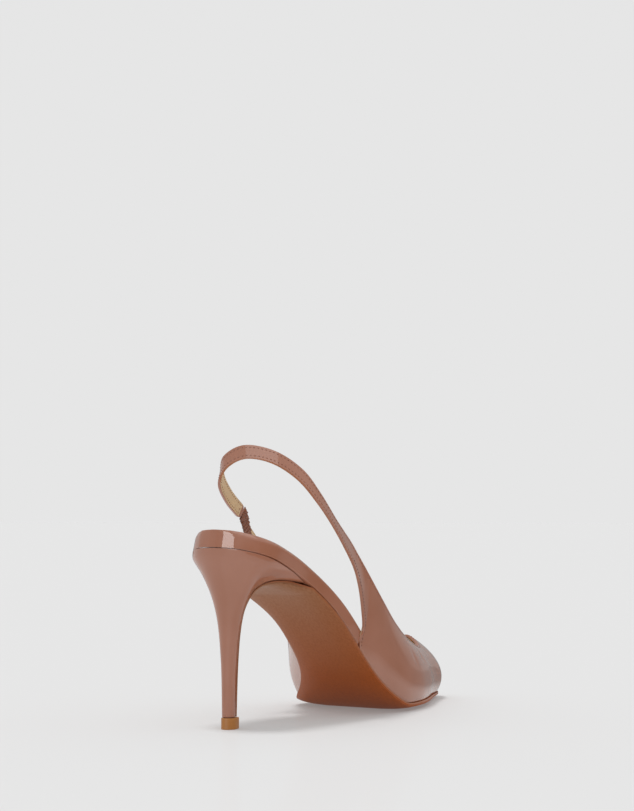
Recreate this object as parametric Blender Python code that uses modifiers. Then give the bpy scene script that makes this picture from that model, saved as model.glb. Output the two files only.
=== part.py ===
"""Slingback pump, one right shoe standing empty. Metres, +X to the toe, +Y to the inner side, +Z up.

The last is held by SECTIONS, one row per section from the heel seat to the toe. The sole, the footbed
and the foot of the upper all read it, so they stay together when a driving size changes.
"""

import bisect
import math
from collections import namedtuple

import bpy
from mathutils import Vector

# Driving sizes
LENGTH = 0.242
BALL_WIDTH = 0.080
HEEL_HEIGHT = 0.0950
TOE_SPRING = 0.0014
VAMP_HEIGHT = 0.042
SLING_HEIGHT = 0.1445
SEAT_LENGTH = 0.052
SEAT_WIDTH = 0.0496
TOE_RADIUS = 0.012
TOE_SHIFT = 0.003
UPPER_WALL = 0.0016
SLING_WIDTH = 0.0076
GORE_WIDTH = 0.0075
GORE_WALL = 0.0012
SOLE_WALL = 0.0044
FLAP_WALL = 0.0016
FLAP_THIN_AT = 0.15
TOE_SKIVE = 0.0022
TOE_TUCK = 0.0062
SKIVE_FROM = 0.74
RIM_DEPTH = 0.0092
INSOLE_WALL = 0.0030
SEAT_DISH = 0.0024
DISH_START = 0.010
SOCK_WALL = 0.0010
LIFT_HEIGHT = 0.0060
LIFT_LEDGE = 0.0006
BREAST_GAP = 0.004
GAP = 0.0003
SOLE_END = LENGTH - TOE_TUCK

# Small sizes that belong to the way the sections are read
SOLE_LEDGE = 0.0007
SOFTENING = 0.006
STEP = 0.0001

# Counts of the mesh
STATIONS = 34
END_STATIONS = 6
HEEL_RING = 12
SHELL_ROWS = 7
COLUMNS_PER_ROW = 3

Section = namedtuple("Section", "along arch spring inner outer")
# along: share of LENGTH. arch: share of HEEL_HEIGHT. spring: share of TOE_SPRING.
# inner and outer: half widths to each side of the heel's middle line, as shares of BALL_WIDTH.
SECTIONS = [
    Section(0.000, 1.000, 0.00, 0.310, 0.310),
    Section(0.060, 0.950, 0.00, 0.310, 0.310),
    Section(0.110, 0.905, 0.00, 0.309, 0.311),
    Section(0.165, 0.848, 0.00, 0.304, 0.312),
    Section(0.215, 0.780, 0.00, 0.292, 0.316),
    Section(0.260, 0.703, 0.00, 0.256, 0.334),
    Section(0.310, 0.592, 0.00, 0.184, 0.366),
    Section(0.350, 0.486, 0.00, 0.158, 0.382),
    Section(0.400, 0.352, 0.00, 0.164, 0.389),
    Section(0.450, 0.230, 0.00, 0.210, 0.392),
    Section(0.500, 0.129, 0.00, 0.312, 0.399),
    Section(0.545, 0.060, 0.00, 0.430, 0.408),
    Section(0.590, 0.009, 0.00, 0.534, 0.412),
    Section(0.608, 0.000, 0.00, 0.544, 0.409),
    Section(0.680, 0.000, 0.00, 0.545, 0.378),
    Section(0.730, 0.000, 0.00, 0.496, 0.330),
    Section(0.770, 0.000, 0.10, 0.448, 0.284),
    Section(0.830, 0.000, 0.32, 0.362, 0.200),
    Section(0.900, 0.000, 0.60, 0.230, 0.112),
    Section(0.960, 0.000, 0.84, 0.122, 0.040),
    Section(1.000, 0.000, 1.00, 0.066, 0.014),
]

HeelRow = namedtuple("HeelRow", "down back half front front_half")
# down: share of the way from the seat to the top lift. back and front: shares of SEAT_LENGTH.
# half and front_half: shares of half of SEAT_WIDTH, at the widest place and at the breast.
HEEL_ROWS = [
    HeelRow(0.000, 0.000, 1.000, 1.000, 0.950),
    HeelRow(0.033, 0.010, 0.960, 0.856, 0.740),
    HeelRow(0.076, 0.036, 0.830, 0.702, 0.580),
    HeelRow(0.120, 0.072, 0.690, 0.596, 0.450),
    HeelRow(0.180, 0.116, 0.560, 0.515, 0.325),
    HeelRow(0.257, 0.156, 0.432, 0.462, 0.225),
    HeelRow(0.340, 0.180, 0.330, 0.427, 0.160),
    HeelRow(0.430, 0.196, 0.258, 0.404, 0.128),
    HeelRow(0.550, 0.208, 0.202, 0.385, 0.106),
    HeelRow(0.750, 0.217, 0.152, 0.365, 0.094),
    HeelRow(1.000, 0.223, 0.133, 0.354, 0.085),
]

VampRow = namedtuple("VampRow", "foot top across rise low high shoulder out_low out_high")
# foot: share of LENGTH where the column leaves the sole. top: the same where it meets the topline.
# across: the topline's distance from the toe's middle line, share of BALL_WIDTH. rise: share of VAMP_HEIGHT.
# low, high: handle heights, shares of the column's rise. shoulder: how far the upper handle runs back out.
# out_low, out_high: fullness of the side, shares of BALL_WIDTH.
VAMP_ROWS = [
    VampRow(1.000, 0.832, 0.000, 0.940, 0.44, 0.16, 0.48, 0.128, 0.000),
    VampRow(0.977, 0.820, 0.098, 0.871, 0.44, 0.16, 0.46, 0.120, 0.004),
    VampRow(0.933, 0.790, 0.176, 0.808, 0.44, 0.16, 0.44, 0.092, 0.010),
    VampRow(0.858, 0.738, 0.236, 0.846, 0.46, 0.18, 0.40, 0.062, 0.018),
    VampRow(0.775, 0.675, 0.294, 0.932, 0.46, 0.22, 0.36, 0.050, 0.022),
    VampRow(0.683, 0.610, 0.358, 1.036, 0.42, 0.26, 0.34, 0.048, 0.022),
    VampRow(0.592, 0.543, 0.396, 1.236, 0.40, 0.30, 0.32, 0.042, 0.020),
    VampRow(0.504, 0.482, 0.415, 1.514, 0.36, 0.32, 0.32, 0.036, 0.018),
    VampRow(0.410, 0.440, 0.418, 1.742, 0.34, 0.32, 0.33, 0.030, 0.012),
]
# The inner side stands this much further out over the cut-away waist, low down and higher up:
# shares of BALL_WIDTH, reached from the toe back to the ball.
INNER_LOW = 0.085
INNER_HIGH = 0.036
FULL_FROM = 0.96
FULL_TO = 0.70

WingRow = namedtuple("WingRow", "rear rear_across rear_rise top across rise")
# Both ends of each column of a wing: shares of LENGTH, BALL_WIDTH and SLING_HEIGHT.
OUTER_WING_ROWS = [
    WingRow(0.398, 0.412, 0.336, 0.421, 0.412, 0.543),
    WingRow(0.384, 0.432, 0.422, 0.398, 0.404, 0.588),
    WingRow(0.366, 0.440, 0.511, 0.375, 0.398, 0.630),
    WingRow(0.341, 0.436, 0.592, 0.352, 0.392, 0.672),
]
INNER_WING_ROWS = [
    WingRow(0.398, 0.225, 0.330, 0.421, 0.416, 0.543),
    WingRow(0.386, 0.300, 0.410, 0.398, 0.408, 0.588),
    WingRow(0.366, 0.352, 0.505, 0.373, 0.396, 0.630),
    WingRow(0.334, 0.374, 0.605, 0.344, 0.386, 0.680),
    WingRow(0.298, 0.378, 0.686, 0.309, 0.380, 0.730),
    WingRow(0.286, 0.364, 0.738, 0.294, 0.364, 0.758),
]

SlingRow = namedtuple("SlingRow", "along across rise lean")
# Middle line of the strap from the outer wing round the back to its tab: shares of LENGTH, BALL_WIDTH
# and SLING_HEIGHT. lean: degrees that the top edge leans in.
SLING_ROWS = [
    SlingRow(0.278, -0.420, 0.737, 34),
    SlingRow(0.228, -0.380, 0.838, 34),
    SlingRow(0.189, -0.306, 0.923, 32),
    SlingRow(0.143, -0.188, 0.985, 30),
    SlingRow(0.098, -0.050, 1.003, 22),
    SlingRow(0.082, 0.082, 0.966, 16),
    SlingRow(0.114, 0.192, 0.908, 13),
    SlingRow(0.174, 0.260, 0.842, 11),
    SlingRow(0.246, 0.306, 0.780, 10),
]

# The elastic's far end inside the inner wing: shares of LENGTH, BALL_WIDTH and SLING_HEIGHT.
GORE_END = (0.296, 0.332, 0.672)
GORE_REACH = 0.0045
GORE_WAVES = 5
GORE_WAVE_DEPTH = 0.0003

# Stretches of the footbed, from and to as shares of LENGTH: where it narrows to go inside the upper,
# where its wrapped rim thins out, where the seat's dish ends, and where the toe's middle line leaves.
BED_NARROWS = (0.364, 0.393)
BED_THINS = (0.410, 0.520)
DISH_ENDS = (0.360, 0.460)
TOE_LEAVES = 0.37
# The dish's flat bottom and the inside of the rim, as shares of the half width.
DISH_FLAT = 0.62
DISH_RIM = 0.88
SOCK_EDGE = 0.80
# How far forward of its back the heel is widest, as a share of its depth.
HEEL_WIDEST = 0.47


def slope_at(xs, ys, i):
    """Slope of the monotone cubic at point i."""
    if i == 0:
        return (ys[1] - ys[0]) / (xs[1] - xs[0])
    if i == len(xs) - 1:
        return (ys[-1] - ys[-2]) / (xs[-1] - xs[-2])
    before = (ys[i] - ys[i - 1]) / (xs[i] - xs[i - 1])
    after = (ys[i + 1] - ys[i]) / (xs[i + 1] - xs[i])
    if before * after <= 0.0:
        return 0.0
    return 2.0 * before * after / (before + after)


def monotone(xs, ys, x):
    """Cubic through the points that makes no new high or low, so that a level stretch stays level."""
    x = max(xs[0], min(xs[-1], x))
    i = max(0, min(len(xs) - 2, bisect.bisect_right(xs, x) - 1))
    span = xs[i + 1] - xs[i]
    t = (x - xs[i]) / span
    start = slope_at(xs, ys, i) * span
    end = slope_at(xs, ys, i + 1) * span
    rise = ys[i + 1] - ys[i]
    return ys[i] + t * (start + t * (3.0 * rise - 2.0 * start - end + t * (start + end - 2.0 * rise)))


def read(rows, column, x):
    return monotone([row[0] for row in rows], [getattr(row, column) for row in rows], x)


def section(column, x):
    """A column of SECTIONS at x, averaged over a short stretch so that the curve bends evenly."""
    total = 0.0
    for place, weight in ((-1.0, 1.0), (-0.5, 2.0), (0.0, 3.0), (0.5, 2.0), (1.0, 1.0)):
        total += weight * read(SECTIONS, column, (x + place * SOFTENING) / LENGTH)
    return total / 9.0


def sole_wall(x):
    """The sole is skived thinner towards the toe."""
    return SOLE_WALL - TOE_SKIVE * smooth(x, SKIVE_FROM * LENGTH, LENGTH)


def seat(x):
    """Height of the last's underside, which is the sole's upper face."""
    arch = section("arch", x) * (HEEL_HEIGHT - SOLE_WALL)
    return sole_wall(x) + arch + section("spring", x) * TOE_SPRING


def seat_normal(x):
    slope = (seat(x + STEP) - seat(x - STEP)) / (2.0 * STEP)
    return Vector((-slope, 0.0, 1.0)).normalized()


def end_round(x, start, end):
    """Share of the full width near a rounded end."""
    radius = SEAT_WIDTH / 2.0 - start
    if x < start + radius:
        return math.sqrt(max(0.0, 1.0 - ((start + radius - x) / radius) ** 2))
    if x > end - TOE_RADIUS:
        return math.sqrt(max(0.0, 1.0 - ((x - end + TOE_RADIUS) / TOE_RADIUS) ** 2))
    return 1.0


def outline(x, across, inset=0.0, start=0.0, end=SOLE_END):
    """Sideways place on the last: across runs from -1, the outer edge, to 1, the inner edge."""
    inner = section("inner", x) * BALL_WIDTH
    outer = section("outer", x) * BALL_WIDTH
    half = ((inner + outer) / 2.0 - inset) * end_round(x, start, end)
    return (inner - outer) / 2.0 + across * half


def smooth(x, start, end):
    t = max(0.0, min(1.0, (x - start) / (end - start)))
    return t * t * (3.0 - 2.0 * t)


def stations(start, end, count, ends):
    """Places along the shoe, closer together where an end is round."""
    radius = SEAT_WIDTH / 2.0 - start
    toe = TOE_RADIUS
    places = []
    if start < radius:
        for i in range(1, ends):
            places.append(start + radius * (1.0 - math.cos(0.5 * math.pi * i / ends)))
        first = start + radius
    else:
        first = start
    for i in range(count + 1):
        places.append(first + (end - toe - first) * i / count)
    for i in range(1, ends):
        places.append(end - toe + toe * math.sin(0.5 * math.pi * i / ends))
    return places


def mix(rows, t):
    """Catmull-Rom curve through rows of vectors, t in rows."""
    last = len(rows) - 1
    i = max(0, min(last - 1, int(math.floor(t))))
    f = t - i
    b = rows[i]
    c = rows[i + 1]
    a = rows[i - 1] if i > 0 else b * 2.0 - c
    d = rows[i + 2] if i + 2 <= last else c * 2.0 - b
    curve = b * 2.0 + (c - a) * f
    curve += (a * 2.0 - b * 5.0 + c * 4.0 - d) * f * f
    curve += (b * 3.0 - a - c * 3.0 + d) * f * f * f
    return curve * 0.5


def bezier(points, t):
    a, b, c, d = points
    s = 1.0 - t
    return a * s ** 3 + b * 3.0 * s * s * t + c * 3.0 * s * t * t + d * t ** 3


def material(name, colour, roughness, metallic=0.0):
    found = bpy.data.materials.new(name)
    found.use_nodes = True
    shader = found.node_tree.nodes["Principled BSDF"]
    shader.inputs["Base Color"].default_value = (*colour, 1.0)
    shader.inputs["Roughness"].default_value = roughness
    shader.inputs["Metallic"].default_value = metallic
    return found


def mesh_object(name, points, faces, look):
    mesh = bpy.data.meshes.new(name)
    mesh.from_pydata([tuple(point) for point in points], [], faces)
    mesh.materials.append(look)
    made = bpy.data.objects.new(name, mesh)
    bpy.data.collections["slingback_pump"].objects.link(made)
    return made


def loft(name, rings, look):
    """Closed solid through rings with the same number of points, flat at both ends."""
    count = len(rings[0])
    points = [point for ring in rings for point in ring]
    faces = []
    for i in range(len(rings) - 1):
        for j in range(count):
            k = (j + 1) % count
            faces.append((i * count + j, i * count + k, (i + 1) * count + k, (i + 1) * count + j))
    faces.append(tuple(range(count - 1, -1, -1)))
    faces.append(tuple((len(rings) - 1) * count + j for j in range(count)))
    return mesh_object(name, points, faces, look)


def shell(name, grid, wall, look):
    """Sheet through a grid of points, thickened inwards."""
    count = len(grid[0])
    points = [point for column in grid for point in column]
    faces = []
    for i in range(len(grid) - 1):
        for j in range(count - 1):
            faces.append((i * count + j, (i + 1) * count + j, (i + 1) * count + j + 1, i * count + j + 1))
    made = mesh_object(name, points, faces, look)
    thick = made.modifiers.new("wall", "SOLIDIFY")
    thick.thickness = wall
    thick.offset = -1.0
    thick.use_even_offset = False
    return made


def middle_line(x):
    """The toe's middle line, which leaves the heel's towards the inner side."""
    return TOE_SHIFT * smooth(x, TOE_LEAVES * LENGTH, LENGTH)


def foot_point(x, side):
    """Where the upper meets the sole, a little inside the sole's edge."""
    place = Vector((x, outline(x, side, SOLE_LEDGE, 0.0, SOLE_END - SOLE_LEDGE), seat(x)))
    place.z += GAP
    return place


def foot_outward(x, side):
    """Level direction out of the shoe at the foot of the upper."""
    end = SOLE_END - SOLE_LEDGE
    low = min(x, end) - STEP
    here = foot_point(low, side)
    back = foot_point(low - STEP, side)
    run = here - back
    return Vector((-run.y * side, run.x * side, 0.0)).normalized() if x < end else Vector((1.0, 0.0, 0.0))


def vamp_column(values, side):
    """The four handles of one column of the vamp or quarter, from its table values."""
    foot, top, across, rise, low, high, shoulder, out_low, out_high = values
    x = min(foot, 1.0) * (SOLE_END - SOLE_LEDGE)
    start = foot_point(x, side)
    y = middle_line(top * LENGTH) + side * across * BALL_WIDTH
    end = Vector((top * LENGTH, y, rise * VAMP_HEIGHT))
    outward = foot_outward(x, side)
    climb = end.z - start.z
    if side > 0.0:
        full = smooth(x, FULL_FROM * LENGTH, FULL_TO * LENGTH)
        out_low += INNER_LOW * full
        out_high += INNER_HIGH * full
    first = start + outward * out_low * BALL_WIDTH + Vector((0.0, 0.0, low * climb))
    second = end + (start - end) * shoulder
    second.z = end.z - high * climb
    second += outward * out_high * BALL_WIDTH
    return [start, first, second, end]


def wing_column(row, side):
    start = Vector((row.rear * LENGTH, middle_line(row.rear * LENGTH), row.rear_rise * SLING_HEIGHT))
    start.y += side * row.rear_across * BALL_WIDTH
    end = Vector((row.top * LENGTH, middle_line(row.top * LENGTH), row.rise * SLING_HEIGHT))
    end.y += side * row.across * BALL_WIDTH
    return [start, start.lerp(end, 1.0 / 3.0), start.lerp(end, 2.0 / 3.0), end]


def sling_points():
    return [
        Vector((row.along * LENGTH, row.across * BALL_WIDTH, row.rise * SLING_HEIGHT))
        for row in SLING_ROWS
    ]


def strap_column(place, run, lean, width):
    """Both edges of a strap at a place: its top edge leans in by lean degrees."""
    outward = Vector((run.y, -run.x, 0.0)).normalized()
    if outward.dot(Vector((SLING_ROWS[0].along * LENGTH - place.x, -place.y, 0.0))) > 0.0:
        outward.negate()
    up = run.cross(outward)
    if up.z < 0.0:
        up.negate()
    up.normalize()
    angle = math.radians(lean)
    reach = (up * math.cos(angle) - outward * math.sin(angle)) * width / 2.0
    start = place - reach
    end = place + reach
    return [start, start.lerp(end, 1.0 / 3.0), start.lerp(end, 2.0 / 3.0), end]


def sling_columns():
    places = sling_points()
    columns = []
    for i, row in enumerate(SLING_ROWS):
        run = mix(places, i + 0.01) - mix(places, i - 0.01)
        columns.append(strap_column(places[i], run.normalized(), row.lean, SLING_WIDTH))
    return columns


def side_columns(side):
    """Columns from the toe's middle back to the wing, as lists of four handles.

    The second row is mirrored ahead of the first, so that both sides meet level at the toe's middle.
    """
    rows = [Vector(row) for row in VAMP_ROWS]
    mirrored = rows[1].copy()
    mirrored[2] = -mirrored[2]
    rows.insert(0, mirrored)
    steps = (len(rows) - 2) * COLUMNS_PER_ROW
    return [vamp_column(mix(rows, 1.0 + i / COLUMNS_PER_ROW), side) for i in range(steps + 1)]


def whole_columns():
    """Every column of the upper in one run: strap tab, strap, outer side, toe, inner side, inner tab."""
    outer_vamp = side_columns(-1.0)
    inner_vamp = side_columns(1.0)
    outer_wing = [wing_column(row, -1.0) for row in OUTER_WING_ROWS]
    inner_wing = [wing_column(row, 1.0) for row in INNER_WING_ROWS]
    outer = refine(outer_vamp[-1 - COLUMNS_PER_ROW], [outer_vamp[-1]] + outer_wing + sling_columns())
    inner = refine(inner_vamp[-1 - COLUMNS_PER_ROW], [inner_vamp[-1]] + inner_wing)
    return outer[::-1] + outer_vamp[-2:0:-1] + inner_vamp[:-1] + inner


def refine(before, columns):
    """More columns between the given ones, on smooth curves that go on from the column before them."""
    lines = [[column[k] for column in [before] + columns] for k in range(4)]
    made = []
    for i in range((len(columns) - 1) * COLUMNS_PER_ROW + 1):
        made.append([mix(line, 1.0 + i / COLUMNS_PER_ROW) for line in lines])
    return made


def upper(look):
    grid = []
    for column in whole_columns():
        grid.append([bezier(column, row / SHELL_ROWS) for row in range(SHELL_ROWS + 1)])
    return shell("upper", grid, UPPER_WALL, look)


def bed_inset(x):
    """The footbed is as wide as the sole in the open seat and fits inside the upper's wall."""
    return (UPPER_WALL + SOLE_LEDGE + 2.0 * GAP) * smooth(x, BED_NARROWS[0] * LENGTH, BED_NARROWS[1] * LENGTH)


def bed_depth(x):
    return RIM_DEPTH + (INSOLE_WALL - RIM_DEPTH) * smooth(x, BED_THINS[0] * LENGTH, BED_THINS[1] * LENGTH)


def bed_top(x, across):
    """Depth of the footbed above its underside: a shallow dish with a rounded rim."""
    ending = 1.0 - smooth(x, DISH_ENDS[0] * LENGTH, DISH_ENDS[1] * LENGTH)
    dish = SEAT_DISH * smooth(x, 0.0, DISH_START) * ending
    return bed_depth(x) - dish * (1.0 - smooth(abs(across), DISH_FLAT, DISH_RIM))


def bed_point(x, across, depth):
    end = SOLE_END - SOLE_LEDGE - UPPER_WALL - 2.0 * GAP
    base = Vector((x, outline(x, across, bed_inset(x), 0.0, end), seat(x)))
    return base + seat_normal(x) * (GAP + depth)


def bed_stations():
    end = SOLE_END - SOLE_LEDGE - UPPER_WALL - 2.0 * GAP
    return stations(0.0, end, STATIONS, END_STATIONS)


def footbed(look):
    low = [(-0.97, 0.0), (-0.5, 0.0), (0.0, 0.0), (0.5, 0.0), (0.97, 0.0), (1.0, 0.06)]
    high = [(1.0, 0.66), (0.985, 0.84), (0.94, 0.97)]
    slope = (DISH_FLAT + DISH_RIM) / 2.0
    top = (DISH_RIM, slope, DISH_FLAT, 0.0, -DISH_FLAT, -slope, -DISH_RIM)
    rings = []
    for x in bed_stations():
        deep = bed_depth(x)
        ring = [bed_point(x, across, share * deep) for across, share in low]
        ring += [bed_point(x, across, share * deep) for across, share in high]
        for across in top:
            ring.append(bed_point(x, across, bed_top(x, across)))
        ring += [bed_point(x, -across, share * deep) for across, share in reversed(high)]
        ring.append(bed_point(x, -1.0, 0.06 * deep))
        rings.append(ring)
    return loft("footbed", rings, look)


def insole_sock(look):
    end = SOLE_END - SOLE_LEDGE - UPPER_WALL - 3.0 * SOCK_WALL
    places = (-SOCK_EDGE, -DISH_FLAT, 0.0, DISH_FLAT, SOCK_EDGE)
    rings = []
    for x in bed_stations():
        if not DISH_START < x < end:
            continue
        width = end_round(x, DISH_START, end) / end_round(x, 0.0, SOLE_END)
        ring = []
        for across in places:
            ring.append(bed_point(x, across * min(1.0, width), GAP + bed_top(x, across)))
        for across in reversed(places):
            ring.append(bed_point(x, across * min(1.0, width), GAP + SOCK_WALL + bed_top(x, across)))
        rings.append(ring)
    return loft("insole_sock", rings, look)


def heel_top(x):
    return seat(x) - GAP


def heel_height(x, down):
    """Height of a heel section at x: it follows the seat at the top and is level at the lift."""
    return heel_top(x) * (1.0 - down) + (LIFT_HEIGHT + GAP) * down


def heel_section(down, grow=0.0, reach=0.0):
    """One section of the heel as points round it, from the breast's inner corner round the back."""
    back = read(HEEL_ROWS, "back", down) * SEAT_LENGTH - grow
    front = read(HEEL_ROWS, "front", down) * SEAT_LENGTH + grow + reach
    half = read(HEEL_ROWS, "half", down) * SEAT_WIDTH / 2.0 + grow
    breast = read(HEEL_ROWS, "front_half", down) * SEAT_WIDTH / 2.0 + grow
    middle = back + HEEL_WIDEST * (front - back)
    side = []
    for i in range(4):
        t = i / 4.0
        side.append((front + (middle - front) * t, breast + (half - breast) * math.sin(0.5 * math.pi * t)))
    round_back = []
    for i in range(HEEL_RING + 1):
        angle = math.pi * i / HEEL_RING
        round_back.append((middle - (middle - back) * math.sin(angle), half * math.cos(angle)))
    return side + round_back + [(x, -y) for x, y in reversed(side)]


def heel_steps():
    """Shares of the way down at which the heel is drawn: each row's and one halfway to the next."""
    downs = [row.down for row in HEEL_ROWS]
    halfway = [(downs[i] + downs[i + 1]) / 2.0 for i in range(len(downs) - 1)]
    return sorted(downs + halfway)


def heel(look):
    rings = []
    for down in heel_steps():
        rings.append([Vector((x, y, heel_height(x, down))) for x, y in heel_section(down)])
    return loft("heel", rings, look)


def top_lift(look):
    """Under the heel's tip and the end of the sole's flap."""
    base = heel_section(1.0, LIFT_LEDGE, GAP + FLAP_WALL)
    rings = [[Vector((x, y, z)) for x, y in base] for z in (LIFT_HEIGHT, 0.0)]
    return loft("top_lift", rings, look)


def sole_path():
    """Middle line of the sole's upper face from the toe to the lift, with its width and wall there."""
    path = []
    for x in reversed(stations(SEAT_LENGTH + BREAST_GAP, SOLE_END, STATIONS, END_STATIONS)):
        path.append((x, seat(x), outline(x, -1.0), outline(x, 1.0), sole_wall(x)))
    for down in heel_steps()[1:]:
        front = read(HEEL_ROWS, "front", down) * SEAT_LENGTH
        half = read(HEEL_ROWS, "front_half", down) * SEAT_WIDTH / 2.0
        wall = SOLE_WALL + (FLAP_WALL - SOLE_WALL) * smooth(down, 0.0, FLAP_THIN_AT)
        low = heel_height(front, down) - GAP * (1.0 - down)
        path.append((front + GAP, low, -half, half, wall))
    return path


def outsole(look):
    path = sole_path()
    across = (-1.0, -0.90, -0.72, -0.45, 0.0, 0.45, 0.72, 0.90, 1.0)
    share = (0.46, 0.70, 0.90, 1.0, 1.0, 1.0, 0.90, 0.70, 0.46)
    rings = []
    for i, (x, z, outer, inner, wall) in enumerate(path):
        before = path[max(0, i - 1)]
        after = path[min(len(path) - 1, i + 1)]
        down = Vector((after[1] - before[1], 0.0, before[0] - after[0])).normalized()
        if i < len(path) - len(heel_steps()) + 1:
            down = seat_normal(x)
        top = [Vector((x, (inner + outer) / 2.0 + place * (inner - outer) / 2.0, z)) for place in across]
        ring = list(top)
        for point, part in reversed(list(zip(top, share))):
            ring.append(point - down * wall * part)
        rings.append(ring)
    return loft("outsole", rings, look)


def elastic_gore(look):
    """Gathered elastic from the end of the strap's tab to inside the inner wing's tab."""
    places = sling_points()
    tab = places[-1]
    first_run = (tab - mix(places, len(places) - 1.1)).normalized()
    inwards = Vector((first_run.y, -first_run.x, 0.0)).normalized() * UPPER_WALL / 2.0
    start = tab + first_run * 2.0 * GAP + inwards
    end = Vector((GORE_END[0] * LENGTH, GORE_END[1] * BALL_WIDTH, GORE_END[2] * SLING_HEIGHT))
    handles = [start, start + first_run * GORE_REACH, end.lerp(start, 0.5), end]
    rings = []
    count = GORE_WAVES * 4
    for i in range(count + 1):
        t = i / count
        run = (bezier(handles, t + 0.01) - bezier(handles, t - 0.01)).normalized()
        edges = strap_column(bezier(handles, t), run, SLING_ROWS[-1].lean * (1.0 - t), GORE_WIDTH)
        outward = run.cross(edges[-1] - edges[0]).normalized()
        wave = outward * GORE_WAVE_DEPTH * math.sin(2.0 * math.pi * GORE_WAVES * t)
        half = outward * GORE_WALL / 2.0
        low = edges[0] + wave
        high = edges[-1] + wave
        rings.append([low - half, high - half, high + half, low + half])
    return loft("elastic_gore", rings, look)


def clear_scene():
    for old in list(bpy.data.objects):
        bpy.data.objects.remove(old, do_unlink=True)
    bpy.context.scene.collection.children.link(bpy.data.collections.new("slingback_pump"))


def face_outwards(made):
    bpy.context.view_layer.objects.active = made
    made.select_set(True)
    bpy.ops.object.mode_set(mode="EDIT")
    bpy.ops.mesh.select_all(action="SELECT")
    bpy.ops.mesh.normals_make_consistent(inside=False)
    bpy.ops.object.mode_set(mode="OBJECT")
    made.select_set(False)


def centre_on_floor(pieces):
    """Puts the middle of the whole shoe's box over the origin, with its underside on the floor."""
    bpy.context.view_layer.update()
    graph = bpy.context.evaluated_depsgraph_get()
    corners = []
    for piece in pieces:
        corners += [vertex.co.copy() for vertex in piece.evaluated_get(graph).data.vertices]
    middle_x = (min(c.x for c in corners) + max(c.x for c in corners)) / 2.0
    middle_y = (min(c.y for c in corners) + max(c.y for c in corners)) / 2.0
    for piece in pieces:
        for vertex in piece.data.vertices:
            vertex.co -= Vector((middle_x, middle_y, 0.0))


def main():
    clear_scene()
    patent = material("patent_leather", (0.40, 0.20, 0.15), 0.12)
    lining = material("kid_lining", (0.62, 0.48, 0.36), 0.60)
    sole = material("sole_leather", (0.52, 0.22, 0.09), 0.35)
    lift = material("lift_plastic", (0.48, 0.24, 0.07), 0.30)
    elastic = material("elastic_fabric", (0.36, 0.17, 0.12), 0.75)
    pieces = [
        upper(patent),
        elastic_gore(elastic),
        footbed(patent),
        insole_sock(lining),
        outsole(sole),
        heel(patent),
        top_lift(lift),
    ]
    for piece in pieces:
        if piece.name != "upper":
            face_outwards(piece)
    centre_on_floor(pieces)


main()
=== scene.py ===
"""Slingback pump in patent leather: its looks, stage and camera.

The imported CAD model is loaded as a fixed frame. The upper is drawn again here, finer, from the same
rows as the solid, and the other pieces are smooth copies of their solids.
"""

import bisect
import math
import random
from collections import namedtuple

import bmesh
import bpy
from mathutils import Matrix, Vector
from mathutils.bvhtree import BVHTree


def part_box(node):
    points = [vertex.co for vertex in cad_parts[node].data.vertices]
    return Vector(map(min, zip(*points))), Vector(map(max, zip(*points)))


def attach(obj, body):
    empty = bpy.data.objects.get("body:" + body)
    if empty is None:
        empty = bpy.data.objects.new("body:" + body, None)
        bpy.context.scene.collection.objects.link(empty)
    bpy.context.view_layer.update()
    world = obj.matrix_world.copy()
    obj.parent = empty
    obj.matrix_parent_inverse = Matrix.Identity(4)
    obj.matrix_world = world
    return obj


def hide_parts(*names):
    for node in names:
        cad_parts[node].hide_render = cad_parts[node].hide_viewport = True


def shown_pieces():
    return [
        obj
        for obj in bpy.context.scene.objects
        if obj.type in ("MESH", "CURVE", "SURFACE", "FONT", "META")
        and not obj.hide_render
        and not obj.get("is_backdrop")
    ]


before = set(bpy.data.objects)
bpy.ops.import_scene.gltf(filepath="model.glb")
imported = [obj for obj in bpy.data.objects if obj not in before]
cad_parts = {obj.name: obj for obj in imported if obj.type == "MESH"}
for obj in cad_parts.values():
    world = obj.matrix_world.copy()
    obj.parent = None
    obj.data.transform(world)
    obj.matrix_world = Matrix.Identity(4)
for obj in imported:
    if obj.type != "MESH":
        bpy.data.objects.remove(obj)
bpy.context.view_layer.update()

bl_info = {
    "name": "Slingback pump",
    "version": (1, 0, 0),
    "blender": (4, 5, 0),
    "location": "View3D > Sidebar > Pump",
    "description": "Builds a patent leather slingback pump with its stage",
    "category": "Object",
}

# The last, in metres, as in the solid
LENGTH = 0.242
BALL_WIDTH = 0.080
HEEL_HEIGHT = 0.0950
TOE_SPRING = 0.0014
VAMP_HEIGHT = 0.042
SLING_HEIGHT = 0.1445
SEAT_LENGTH = 0.052
SEAT_WIDTH = 0.0496
TOE_RADIUS = 0.012
TOE_SHIFT = 0.003
UPPER_WALL = 0.0016
SLING_WIDTH = 0.0076
GORE_WIDTH = 0.0075
GORE_WALL = 0.0012
SOLE_WALL = 0.0044
FLAP_WALL = 0.0016
FLAP_THIN_AT = 0.15
TOE_SKIVE = 0.0022
TOE_TUCK = 0.0062
SKIVE_FROM = 0.74
RIM_DEPTH = 0.0092
INSOLE_WALL = 0.0030
SEAT_DISH = 0.0024
DISH_START = 0.010
SOCK_WALL = 0.0010
LIFT_HEIGHT = 0.0060
LIFT_LEDGE = 0.0006
BREAST_GAP = 0.004
GAP = 0.0003
SOLE_LEDGE = 0.0007
SOLE_END = LENGTH - TOE_TUCK
FOOT_END = SOLE_END - SOLE_LEDGE
BED_END = FOOT_END - UPPER_WALL - 2.0 * GAP
SOFTENING = 0.006
STEP = 0.0001
TOE_LEAVES = 0.37

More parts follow.
